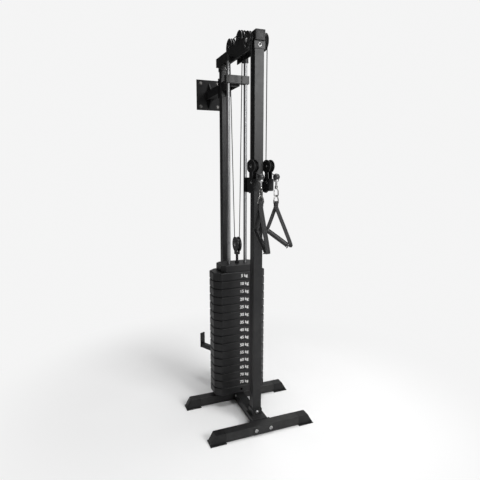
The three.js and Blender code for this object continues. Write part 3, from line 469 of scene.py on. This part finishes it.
# Sheaves: machined black nylon wheels with a round groove for each line, a sunk web with six ribs on either
# face, and a steel bearing pressed into the hub.
def wheel_mesh(name, centre, axis, outer, pitch, half, lanes):
    """A ribbed wheel about an axis, with a groove at each lane, the line's distance along the axis."""
    axis = Vector(axis).normalized()
    up = Vector((0, 0, 1))
    ahead = axis.cross(up)
    rim, hub = pitch - 0.0062, 0.0118
    sunk = half - min(0.0032, half * 0.35)
    profile = [(0.0066, -half), (hub, -half), (hub + 0.0008, -sunk), (rim - 0.0008, -sunk), (rim, -half + 0.0004),
               (outer - 0.0012, -half), (outer, -half + 0.001)]
    for lane in lanes:
        floor = pitch - 0.0028
        profile.append((outer, lane - 0.0066))
        profile += [(floor + 0.0034 * (1 - math.cos(t)), lane + 0.0034 * math.sin(t))
                    for t in (-1.2, -0.8, -0.4, 0, 0.4, 0.8, 1.2)]
        profile.append((outer, lane + 0.0066))
    profile += [(outer, half - 0.001), (outer - 0.0012, half), (rim, half - 0.0004), (rim - 0.0008, sunk),
                (hub + 0.0008, sunk), (hub, half), (0.0066, half)]
    sides = 60
    rings = []
    for radius, along in profile:
        ring = []
        for i in range(sides):
            turn = 2 * math.pi * i / sides
            shift = along
            if hub < radius < rim and abs(abs(along) - sunk) < 1e-6 and i % 10 in (0, 1):
                shift = math.copysign(half - 0.0012, along)
            ring.append(centre + axis * shift + ahead * (radius * math.cos(turn)) + up * (radius * math.sin(turn)))
        rings.append(ring)
    return shell_mesh(name, rings, closed=True)


def middle_of(node):
    """The centre of a node's box."""
    low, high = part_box(node)
    return (low + high) / 2


ball_radius = 0.0175
heads = {}
for side in ("left", "right"):
    wheel, ball = middle_of(f"{side}_head_sheave"), middle_of(f"{side}_ball_stopper")
    ahead = Vector((ball.x - wheel.x, ball.y - wheel.y, 0)).normalized()
    ball.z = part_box(f"{side}_ball_stopper")[1].z - ball_radius
    heads[side] = {"wheel": wheel, "ahead": ahead, "across": Vector((-ahead.y, ahead.x, 0)), "ball": ball}
small_pitch, lift_pitch, top_pitch, lane_offset = 0.02, 0.038, 0.04, 0.008
wheels = [("lift_sheave", "lift_wheel", (1, 0, 0), lift_pitch, 0.009, [0]),
          ("rear_top_sheave", "rear_top_wheel", (1, 0, 0), top_pitch, 0.009, [0]),
          ("mid_top_sheave", "mid_top_wheel", (1, 0, 0), top_pitch, 0.017, [-lane_offset, lane_offset]),
          ("front_top_sheave_left", "front_top_wheel_left", (1, 0, 0), lift_pitch, 0.008, [0]),
          ("front_top_sheave_right", "front_top_wheel_right", (1, 0, 0), lift_pitch, 0.008, [0])]
for side, head in heads.items():
    wheels.append((f"{side}_head_sheave", f"{side}_head_wheel", head["across"], small_pitch, 0.009, [0]))
for node, body, axis, pitch, half, lanes in wheels:
    centre = middle_of(node)
    wheel = add_piece(f"{node}_wheel", wheel_mesh(node, centre, axis, pitch + 0.005, pitch, half, lanes),
                      hard_plastic, body, 28)
    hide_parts(node)
    bearing = [(0.0063, -half - 0.0002), (0.0072, -half - 0.0002), (0.0076, -half + 0.0003), (0.0098, -half + 0.0003),
               (0.0102, -half - 0.0002), (0.0112, -half - 0.0002), (0.0112, -half + 0.001), (0.0063, -half + 0.001)]
    for face, word in ((1, "right"), (-1, "left")):
        turned(f"{node}_bearing_{word}", bearing, centre, Vector(axis) * face, zinc, body, 36, True)


# Floating pulley: two pressed cheeks on a threaded stem that is screwed into the head plate, all painted
# black, with a lock nut on the plate and the axle's bolt heads outside the cheeks.
soften("lift_yoke", plate_edge, powder_coat)
lift = middle_of("lift_sheave")
for side, sign in (("left", -1), ("right", 1)):
    button_bolt(f"lift_axle_bolt_{side}", lift + Vector((sign * 0.0137, 0, 0)), (sign, 0, 0), "stack", 0.0085, 0.0048)


# Swivelling pulley heads: two round cheeks on a black block that turns on the pin of its bracket, held with
# through bolts.
head_bolt = (0.0058, 0.0042)
cheek_out, block_ahead, block_z = 0.0152, 0.004, 1.358
for side, sign in (("left", -1), ("right", 1)):
    head = heads[side]
    soften(f"{side}_swivel_head", 0.0012, powder_coat)
    for word, turn in (("inner", -sign), ("outer", sign)):
        out = head["across"] * turn
        button_bolt(f"{side}_head_axle_{word}", head["wheel"] + out * cheek_out, out, f"{side}_head", *head_bolt)
        seat = head["wheel"] + head["ahead"] * block_ahead + out * cheek_out
        seat.z = block_z
        button_bolt(f"{side}_head_bolt_{word}", seat, out, f"{side}_head", *head_bolt)


# Lines: steel cable in a smooth black plastic sleeve, run from the floating pulley over the top sheaves and
# down to the heads. The strands over the floating pulley, which shorten as it rises, and a head's drawn line are
# built as fixed meshes on no body.
sleeve, start, shader = new_finish("line_sleeve")
place = start.node("ShaderNodeTexCoord", {}, {}, "UV")
parts = place.node("ShaderNodeSeparateXYZ", {}, {"Vector": place}, "X")
run = Shade(start.tree, parts.socket.node.outputs["Y"])
lay = (parts * 6.283 * 6 + run * 900.0).sine()
smear = place.noise(90.0, 4.0)
start.feed(shader, {
    "Base Color": smear.ramp((0.3, (0.005, 0.005, 0.0052)), (0.7, (0.010, 0.010, 0.0104))),
    "Roughness": 0.42 + smear * 0.16,
    "Normal": (lay * 0.5 + 0.5).bump(0.00007, 0.5),
    "Specular IOR Level": 0.12,
})


def arc(centre, out, up, radius, start, end, steps):
    """Points on an arc about a centre; degrees from out towards up."""
    turns = [math.radians(start + (end - start) * i / steps) for i in range(steps + 1)]
    return [centre + out * (radius * math.cos(t)) + up * (radius * math.sin(t)) for t in turns]


def subdivided(points, step):
    """The same route with no stretch longer than a step."""
    route = [points[0]]
    for a, b in zip(points, points[1:]):
        count = max(1, math.ceil((b - a).length / step))
        route += [a.lerp(b, i / count) for i in range(1, count + 1)]
    return route


def tube_mesh(name, points, radius, sides=12, closed=False):
    """A round bar along a route; its section keeps from twisting."""
    count = len(points)
    tangents = []
    for i in range(count):
        before = points[i - 1] if closed or i else points[0]
        after = points[(i + 1) % count] if closed or i < count - 1 else points[-1]
        tangents.append((after - before).normalized())
    side = tangents[0].orthogonal().normalized()
    rings = []
    for point, tangent in zip(points, tangents):
        side = (side - tangent * side.dot(tangent)).normalized()
        third = tangent.cross(side)
        turns = [2 * math.pi * i / sides for i in range(sides)]
        rings.append([point + side * (radius * math.cos(t)) + third * (radius * math.sin(t)) for t in turns])
    return shell_mesh(name, rings, closed)


def add_line(name, points, node, body=None):
    """A length of line for a node; without a body it is attached to no body."""
    mesh = tube_mesh(name, points, line_radius)
    if body:
        piece = add_piece(name, mesh, sleeve, body)
    else:
        piece = bpy.data.objects.new(name, mesh)
        bpy.context.scene.collection.objects.link(piece)
        dress(piece, sleeve)
        mesh.shade_smooth()
    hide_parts(node)
    return piece


line_radius, line_slope = 0.0024, 25.7
ahead_y, up_z = Vector((0, 1, 0)), Vector((0, 0, 1))
rear, mid = middle_of("rear_top_sheave"), middle_of("mid_top_sheave")
add_line("lift_turn", arc(lift, ahead_y, up_z, lift_pitch, 180, 360, 40), "lift_loop", "stack")
for name, sign, top in (("left", -1, rear), ("right", 1, mid)):
    low = lift - ahead_y * (sign * lift_pitch)
    high = Vector((sign * lane_offset, top.y + top_pitch, top.z - 0.0004))
    strand = add_line(f"{name}_hoist_line", subdivided([low, high], 0.02), f"{name}_strand")
    low + up_z * 0.02
    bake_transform(strand)
for side, sign in (("left", -1), ("right", 1)):
    front = middle_of(f"front_top_sheave_{side}")
    leave = 90 + math.degrees(math.atan2(rear.z - front.z + 0.002, mid.y - front.y))
    lane = sign * lane_offset
    over_mid = Vector((lane, mid.y, mid.z))
    points = arc(over_mid, ahead_y, up_z, top_pitch, 90 if sign < 0 else 0, leave, 4 if sign < 0 else 30)
    if sign < 0:
        points = arc(Vector((lane, rear.y, rear.z)), ahead_y, up_z, top_pitch, 0, 90, 24) + points
    points += arc(front, ahead_y, up_z, lift_pitch, leave, 180, 26)
    head = heads[side]
    points.append(Vector((front.x, front.y - lift_pitch, head["wheel"].z + 0.0002)))
    add_line(f"{side}_side_line", subdivided(points, 0.06), f"{side}_line", "frame")
    slope = math.radians(line_slope)
    turn = arc(head["wheel"], -head["ahead"], up_z, small_pitch, 0, line_slope - 90, 20)
    reach = head["ball"] - (head["ahead"] * math.cos(slope) - up_z * math.sin(slope)) * 0.016
    route = turn + subdivided([turn[-1], reach], 0.006)[1:]
    drawn = add_line(f"{side}_drawn_line", route, f"{side}_head_line")
    reach - (reach - turn[-1]) * 0.12
    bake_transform(drawn)


# Line ends: a hard rubber ball that stops at the sheave, with a mould seam round it, and a plated swivel
# shank under it.
ball_rubber, start, shader = new_finish("ball_rubber")
place = start.node("ShaderNodeTexCoord", {}, {}, "Object")
bloom = place.noise(70.0, 6.0)
start.feed(shader, {
    "Base Color": bloom.ramp((0.3, (0.011, 0.011, 0.0115)), (0.75, (0.026, 0.026, 0.0265))),
    "Roughness": 0.3 + bloom * 0.22,
    "Normal": place.noise(700.0, 3.0).bump(0.00012, 0.5),
})
for side, head in heads.items():
    ball = head["ball"]
    slant = (head["ahead"] * 0.9 - up_z * 0.435).normalized()
    profile = []
    skin = ball_radius - 0.0001
    for i in range(37):
        t = math.pi * i / 36
        seam = 0.0003 if i in (17, 19) else -0.0002 if i == 18 else 0
        profile.append((skin * math.sin(t) + seam if 0 < i < 36 else 0, -skin * math.cos(t)))
    stop = turned(f"{side}_line_ball", profile, ball, slant, ball_rubber, f"{side}_line_end", 40)
    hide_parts(f"{side}_ball_stopper")
    ferrule = [(0, -0.0205), (0.0036, -0.0205), (0.0044, -0.0195), (0.0052, -0.0165), (0.0052, -0.012), (0, -0.012)]
    turned(f"{side}_ferrule", ferrule, ball, slant, zinc, f"{side}_line_end", 24)
    shank = [(0, 0.012), (0.0118, 0.0138), (0.0128, 0.0155), (0.0128, 0.0185), (0.0112, 0.0222), (0.0056, 0.0252),
             (0.005, 0.0265), (0.005, 0.0345), (0.0043, 0.0352), (0.0043, 0.0368), (0.005, 0.0375), (0.005, 0.0432),
             (0.0042, 0.0435), (0, 0.0435)]
    turned(f"{side}_swivel_shank", shank, ball, (0, 0, -1), zinc, f"{side}_line_end", 28)


# Snap hooks: bent and polished steel wire with a round eye collar, and a sprung gate riveted at its foot.
def hanging(side, along, across, z):
    """A point in a handle's own directions: along its grip, across it, and height."""
    head, turn = heads[side], math.radians(handles[side]["turn"])
    u, v = Vector((math.cos(turn), math.sin(turn), 0)), Vector((-math.sin(turn), math.cos(turn), 0))
    return Vector((head["ball"].x, head["ball"].y, 0)) + u * along + v * across + up_z * z


handles = {"left": {"turn": -80, "far": (0.042, 0.118), "near": (0.050, 0.216), "twist": 0.0},
           "right": {"turn": -30, "far": (0.046, 0.118), "near": (0.062, 0.196), "twist": math.radians(36)}}
nickel, start, shader = new_finish("dull_nickel")
place = start.node("ShaderNodeTexCoord", {}, {}, "Object")
worn = place.noise(210.0, 6.0)
start.feed(shader, {
    "Base Color": worn.ramp((0.3, (0.22, 0.217, 0.21)), (0.7, (0.36, 0.356, 0.35))),
    "Roughness": 0.16 + worn * 0.2,
    "Normal": worn.bump(0.00004, 0.4),
    "Metallic": 1.0,
})
shank_drop, collar_height, bow_drop, bow_radius, hook_wire = 0.0438, 0.012, 0.032, 0.01, 0.0029
for side, head in heads.items():
    collar_z = head["ball"].z - shank_drop - collar_height
    bow_z = collar_z - bow_drop
    gate_top = bow_z + 0.027
    collar = [(0, 0), (0.0064, 0), (0.0078, 0.001), (0.0079, 0.0045), (0.007, 0.006), (0.0079, 0.0075),
              (0.0078, 0.011), (0.0062, collar_height), (0, collar_height)]
    turned(f"{side}_hook_eye", collar, hanging(side, 0, 0, collar_z), (0, 0, 1), nickel, f"{side}_hook", 32)
    bow = [hanging(side, bow_radius * math.cos(t), 0, bow_z - bow_radius * math.sin(t))
           for t in (math.pi * i / 16 for i in range(17))]
    bend = [hanging(side, a, 0, collar_z + b) for a, b in
            ((0, 0.002), (0.0022, -0.0016), (0.0062, -0.0062), (0.0092, -0.0098), (bow_radius, -0.014),
             (bow_radius, -0.023))]
    route = bend + bow + [hanging(side, -bow_radius, 0, bow_z + 0.0002)]
    wire = add_piece(f"{side}_hook_wire", tube_mesh("wire", route, hook_wire, 16), nickel, f"{side}_hook")
    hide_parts(f"{side}_snap_hook")
    spur = [hanging(side, 0, 0, collar_z + 0.001), hanging(side, -0.004, 0, collar_z - 0.0024),
            hanging(side, -0.0076, 0, gate_top + 0.0012)]
    nose = add_piece(f"{side}_hook_nose", tube_mesh("nose", spur, 0.0028, 16), nickel, f"{side}_hook")
    bar = [(0, 0.0004), (0.0019, 0.0006), (0.0023, 0.0016), (0.0023, 0.006), (0.0019, 0.0066), (0.0019, 0.0185),
           (0.0023, 0.0192), (0.0023, 0.0228), (0.0016, 0.0238), (0, 0.0239)]
    gate = turned(f"{side}_gate_bar", bar, hanging(side, -bow_radius, 0, bow_z + 0.0004), (0, 0, 1), nickel,
                  f"{side}_gate", 20)
    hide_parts(f"{side}_hook_gate")
    rivet = [(0, -0.0031), (0.0009, -0.0031), (0.0013, -0.0027), (0.0013, 0.0027), (0.0009, 0.0031), (0, 0.0031)]
    turned(f"{side}_gate_rivet", rivet, hanging(side, -bow_radius, 0, bow_z + 0.0032),
           hanging(side, 0, 1, 0) - hanging(side, 0, 0, 0), zinc, f"{side}_gate", 16)


# Stirrup handles: a D-ring, and black nylon webbing sewn round its bar and taken down to both ends of the
# grip. The webbing is woven in ribs, its edges are rolled, and it is sewn with dark grey thread.
webbing, start, shader = new_finish("nylon_webbing")
place = start.node("ShaderNodeTexCoord", {}, {}, "UV")
parts = place.node("ShaderNodeSeparateXYZ", {}, {"Vector": place}, "X")
run = Shade(start.tree, parts.socket.node.outputs["Y"])
rib = (parts * 6.283 * 34).sine()
pick = (run * 5200.0 + (rib > 0) * 3.1416).sine()
fuzz = place.node("ShaderNodeTexNoise", {}, {"Vector": start.node("ShaderNodeTexCoord", {}, {}, "Object"),
                                           "Scale": 300.0, "Detail": 6.0}, "Fac")
weave = rib * 0.35 + pick * 0.3 + fuzz * 0.5
start.feed(shader, {
    "Base Color": (weave * 0.5 + 0.4).ramp((0.2, (0.008, 0.008, 0.0085)), (0.5, (0.019, 0.019, 0.0196)),
                                           (0.9, (0.038, 0.038, 0.039))),
    "Roughness": 0.62 + fuzz * 0.2,
    "Normal": weave.bump(0.00045, 0.8),
    "Sheen Weight": 0.12,
    "Specular IOR Level": 0.3,
    "Sheen Roughness": 0.45,
})
thread, start, shader = new_finish("grey_thread")
place = start.node("ShaderNodeTexCoord", {}, {}, "Object")
ply = place.noise(1500.0, 3.0)
start.feed(shader, {
    "Base Color": ply.ramp((0.3, (0.05, 0.05, 0.052)), (0.7, (0.11, 0.11, 0.113))),
    "Roughness": 0.6 + ply * 0.2,
    "Normal": ply.bump(0.0001, 0.6),
})
grip_rubber, start, shader = new_finish("grip_rubber")
place = start.node("ShaderNodeTexCoord", {}, {}, "UV")
parts = place.node("ShaderNodeSeparateXYZ", {}, {"Vector": place}, "X")
run = Shade(start.tree, parts.socket.node.outputs["Y"])
left_helix = (parts * 6.283 * 24 + run * 1500.0).sine()
right_helix = (parts * 6.283 * 24 - run * 1500.0).sine()
soot = start.node("ShaderNodeTexCoord", {}, {}, "Object").noise(120.0, 5.0)
knurl = left_helix * right_helix
start.feed(shader, {
    "Base Color": (knurl * 0.3 + soot).ramp((0.25, (0.009, 0.009, 0.0095)), (0.8, (0.024, 0.024, 0.0245))),
    "Roughness": 0.34 + soot * 0.2,
    "Normal": (knurl * 0.5 + 0.5).bump(0.0004, 0.5),
})


def smooth_route(points, steps=8):
    """A soft curve through the points of a bent strap."""
    route = []
    ends = [points[0] * 2 - points[1], *points, points[-1] * 2 - points[-2]]
    for a, b, c, d in zip(ends, ends[1:], ends[2:], ends[3:]):
        for i in range(steps):
            t = i / steps
            route.append(((b * 2) + (c - a) * t + (a * 2 - b * 5 + c * 4 - d) * t * t
                          + (b * 3 - a - c * 3 + d) * t ** 3) * 0.5)
    return [*route, points[-1]]


def strap_mesh(name, side, route, width, thick, flat):
    """Webbing along a route of (along, up) points, with rolled edges; its twist is gone by a share of the way."""
    section = rounded(width, thick, thick * 0.48, 3)
    rings = []
    for i, point in enumerate(route):
        tangent = (route[min(i + 1, len(route) - 1)] - route[max(i - 1, 0)]).normalized()
        normal = Vector((tangent.y, -tangent.x))
        share = min(1.0, max(0.0, (i / (len(route) - 1) - flat + 0.2) / 0.2))
        twist = -handles[side]["twist"] * (1 - share * share * (3 - 2 * share))
        ring = []
        for a, b in section:
            out = b * math.cos(twist) + a * math.sin(twist)
            ring.append(hanging(side, point.x + normal.x * out, a * math.cos(twist) - b * math.sin(twist),
                                point.y + normal.y * out))
        rings.append(ring)
    return shell_mesh(name, rings)


def spun(side, along, across, z):
    """A point of the ring or the sewn neck, which stand at the strap's twist."""
    twist = handles[side]["twist"]
    return hanging(side, along * math.cos(twist) + across * math.sin(twist),
                   across * math.cos(twist) - along * math.sin(twist), z)


def neck_mesh(name, side, route, width, thick):
    """The loop of webbing round the ring's bar."""
    section = rounded(width, thick, thick * 0.48, 3)
    rings = []
    for i, point in enumerate(route):
        tangent = (route[min(i + 1, len(route) - 1)] - route[max(i - 1, 0)]).normalized()
        normal = Vector((tangent.y, -tangent.x))
        rings.append([spun(side, point.x + normal.x * b, a, point.y + normal.y * b) for a, b in section])
    return shell_mesh(name, rings)


def stitch_mesh(name, side, rows):
    """Sewn thread: short raised stitches, each from one (along, across, up) point to the next."""
    mesh = bmesh.new()
    for a, b in rows:
        a, b = spun(side, *a), spun(side, *b)
        along = (b - a).normalized()
        out = along.orthogonal().normalized()
        third = along.cross(out)
        rings = []
        for share, size in ((0, 0.25), (0.2, 0.85), (0.5, 1), (0.8, 0.85), (1, 0.25)):
            centre = a.lerp(b, share)
            rings.append([mesh.verts.new(centre + (out * math.cos(t) + third * math.sin(t)) * (0.0005 * size))
                          for t in (math.pi * k / 3 for k in range(6))])
        for low, high in zip(rings, rings[1:]):
            for k in range(6):
                mesh.faces.new((low[k], low[(k + 1) % 6], high[(k + 1) % 6], high[k]))
    data = bpy.data.meshes.new(name)
    mesh.to_mesh(data)
    mesh.free()
    return data


strap_width, strap_thick, ring_half, ring_height, ring_wire, neck_length = 0.028, 0.0034, 0.0175, 0.034, 0.0029, 0.024
for side, head in heads.items():
    shape = handles[side]
    ring_top = head["ball"].z - shank_drop - collar_height - bow_drop - bow_radius + 0.0063
    bar_z = ring_top - ring_height
    neck_z = bar_z - neck_length
    body = f"{side}_handle"
    bow = [spun(side, 0, ring_half * math.cos(t), bar_z + ring_height * math.sin(t)) for t in
           (math.pi * i / 30 for i in range(31))]
    corner = [spun(side, 0, 0.0171, bar_z - 0.001), spun(side, 0, 0.0155, bar_z - 0.0022)]
    foot = [spun(side, 0, a, bar_z - 0.0024) for a in (0.009, 0, -0.009)]
    other = [spun(side, 0, -0.0155, bar_z - 0.0022), spun(side, 0, -0.0171, bar_z - 0.001)]
    outline = bow[::-1] + corner + foot + other
    ring = add_piece(f"{side}_d_ring", tube_mesh("ring", outline, ring_wire, 16, True), nickel, body)

    far = Vector((-shape["far"][0], neck_z - shape["far"][1]))
    near = Vector((shape["near"][0], neck_z - shape["near"][1]))
    along = (near - far).normalized()
    up = Vector((-along.y, along.x))
    loop = [Vector((0.0062 * math.sin(t), bar_z - 0.0024 + 0.0062 * math.cos(t))) for t in
            (math.radians(d) for d in range(-165, 166, 15))]
    wrap = [Vector((-0.0026, neck_z + 0.002)), Vector((-0.0032, neck_z + 0.012)), *loop,
            Vector((0.0032, neck_z + 0.012)), Vector((0.0026, neck_z + 0.002))]
    neck = add_piece(f"{side}_neck_loop", neck_mesh("neck", side, wrap, strap_width, strap_thick), webbing, body, 50)
    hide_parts(f"{side}_stirrup")
    start_far, start_near = Vector((-0.0006, neck_z + 0.013)), Vector((0.0006, neck_z + 0.013))
    far_end = far - along * 0.0035
    near_end = near + along * 0.0035
    far_route = [start_far, Vector((-0.001, neck_z + 0.002)),
                 Vector((far_end.x * 0.12, neck_z - shape["far"][1] * 0.1)),
                 far_end + up * 0.017 + along * 0.001, far_end + up * 0.004 - along * 0.0012,
                 far_end - up * 0.0138 - along * 0.0002]
    near_shoulder = near_end + up * 0.0166
    near_route = [start_near, Vector((0.001, neck_z + 0.002)),
                  Vector((near_shoulder.x * 0.1, neck_z - (neck_z - near_shoulder.y) * 0.09)),
                  near_shoulder + along * 0.001, near_end + up * 0.004 + along * 0.0022,
                  near_end - up * 0.0138 + along * 0.0004]
    for word, route in (("far", far_route), ("near", near_route)):
        mesh = strap_mesh("leg", side, smooth_route(route), strap_width, strap_thick, 0.92)
        leg = add_piece(f"{side}_{word}_leg", mesh, webbing, body, 50)
    rows = []
    for across in (-0.011, -0.0037, 0.0037, 0.011):
        for i in range(5):
            for face in (-0.0047, 0.0047):
                z = neck_z + 0.003 + i * 0.0032
                rows.append(((face, across, z), (face, across, z + 0.0024)))
    for z in (neck_z + 0.0025, neck_z + 0.0185):
        for i in range(7):
            for face in (-0.0047, 0.0047):
                rows.append(((face, -0.0113 + i * 0.0034, z), (face, -0.0089 + i * 0.0034, z)))
    add_piece(f"{side}_stitching", stitch_mesh("stitching", side, rows), thread, body)

    grip_start = hanging(side, far.x, 0, far.y)
    grip_way = hanging(side, along.x, 0, along.y) - hanging(side, 0, 0, 0)
    core_past, core_radius, tube_gap = 0.0012, 0.005, 0.0008
    length = (near - far).length + 2 * core_past
    core = [(0, 0), (0.0042, 0), (core_radius, 0.0008), (core_radius, length - 0.0008), (0.0042, length), (0, length)]
    turned(f"{side}_grip_core", core, grip_start - grip_way * core_past, grip_way, browned, body, 24)
    length = (near - far).length - 2 * tube_gap
    profile = [(0.0056, 0.0004), (0.0112, 0.0002), (0.0127, 0.0012), (0.013, 0.003), (0.013, 0.0062),
               (0.0124, 0.0075)]
    profile += [(0.0122 + 0.0006 * math.sin(math.pi * i / 20), 0.0085 + (length - 0.017) * i / 20) for i in range(21)]
    profile += [(0.0124, length - 0.0075), (0.013, length - 0.0062), (0.013, length - 0.003),
                (0.0127, length - 0.0012), (0.0112, length - 0.0002), (0.0056, length - 0.0004)]
    grip = turned(f"{side}_grip_tube", profile, grip_start + grip_way * tube_gap, grip_way, grip_rubber,
                  f"{side}_hand_grip", 44, True)
    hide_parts(f"{side}_grip")


# Floor, lamps and world: a plain pale studio floor that runs into the backdrop, a soft lamp at the front
# right and one above, and a dim room round them.
def ray_kinds(start):
    """Camera rays alone, and rays that come off metal or through glass."""
    camera_ray = start.node("ShaderNodeLightPath", {}, {}, "Is Camera Ray")
    kinds = camera_ray.socket.node.outputs
    return camera_ray, Shade(start.tree, kinds["Is Glossy Ray"]) + Shade(start.tree, kinds["Is Transmission Ray"])


floor_finish, start, shader = new_finish("floor")
place = start.node("ShaderNodeTexCoord", {}, {}, "Object")
away = place.node("ShaderNodeVectorMath", {"operation": "LENGTH"}, {0: place}, "Value")
far = away.rise(0.5, 1.7)
camera_ray, mirror_ray = ray_kinds(start)
start.feed(shader, {
    "Base Color": place.noise(1.5, 2.0).ramp((0.3, (0.89, 0.89, 0.89)), (0.7, (0.91, 0.91, 0.91))),
    "Roughness": 0.9,
    "Specular IOR Level": 0.1,
})
lit = Shade(start.tree, shader.outputs[0])
glow = start.node("ShaderNodeEmission", {}, {"Color": (0.91, 0.91, 0.91, 1), "Strength": 1.0})
mixed = start.node("ShaderNodeMixShader", {}, {0: far * camera_ray, 1: lit, 2: glow})
start.feed(start.tree.nodes["Material Output"], {"Surface": mixed})
floor_mesh = bpy.data.meshes.new("floor")
floor_mesh.from_pydata([(-30, -30, 0), (30, -30, 0), (30, 30, 0), (-30, 30, 0)], [], [(0, 1, 2, 3)])
floor = bpy.data.objects.new("floor", floor_mesh)
bpy.context.scene.collection.objects.link(floor)
dress(floor, floor_finish)

for name, place, target, size, power in (("key", (1.7, -3.7, 2.8), (0, -0.2, 1.2), 1.9, 158),
                                         ("top", (0.4, 0.1, 4.6), (0, 0, 0.5), 2.8, 150)):
    lamp = bpy.data.lights.new(name, "AREA")
    lamp.shape, lamp.size, lamp.energy = "SQUARE", size, power
    holder = bpy.data.objects.new(name, lamp)
    holder.location = place
    holder.rotation_euler = (Vector(target) - Vector(place)).to_track_quat("-Z", "Y").to_euler()
    bpy.context.scene.collection.objects.link(holder)

world = bpy.data.worlds.new("studio")
bpy.context.scene.world = world
world.use_nodes = True
start = Shade(world.node_tree)
camera_ray, mirror_ray = ray_kinds(start)
place = start.node("ShaderNodeTexCoord", {}, {}, "Generated")
across = place.node("ShaderNodeSeparateXYZ", {}, {"Vector": place}, "X")
depth = Shade(start.tree, across.socket.node.outputs["Y"])
height = Shade(start.tree, across.socket.node.outputs["Z"])
backdrop = across.rise(0.06, 0.3) * depth.rise(0.2, 0.6) * height.rise(0.18, 0.36)
studio = (backdrop * 0.86 + depth.rise(-0.5, -0.8) * 0.8 + 0.04).ramp((0.0, (0, 0, 0)), (1.0, (1, 1, 1)))
room = start.node("ShaderNodeMix", {"data_type": "RGBA"}, {0: mirror_ray, 6: (0.1, 0.1, 0.1, 1), 7: studio}, 2)
seen = start.node("ShaderNodeMix", {"data_type": "RGBA"}, {0: camera_ray, 6: room, 7: (0.91, 0.91, 0.91, 1)}, 2)
start.feed(world.node_tree.nodes["Background"], {"Color": seen, "Strength": 1.0})

bpy.context.scene.view_settings.view_transform = "Standard"
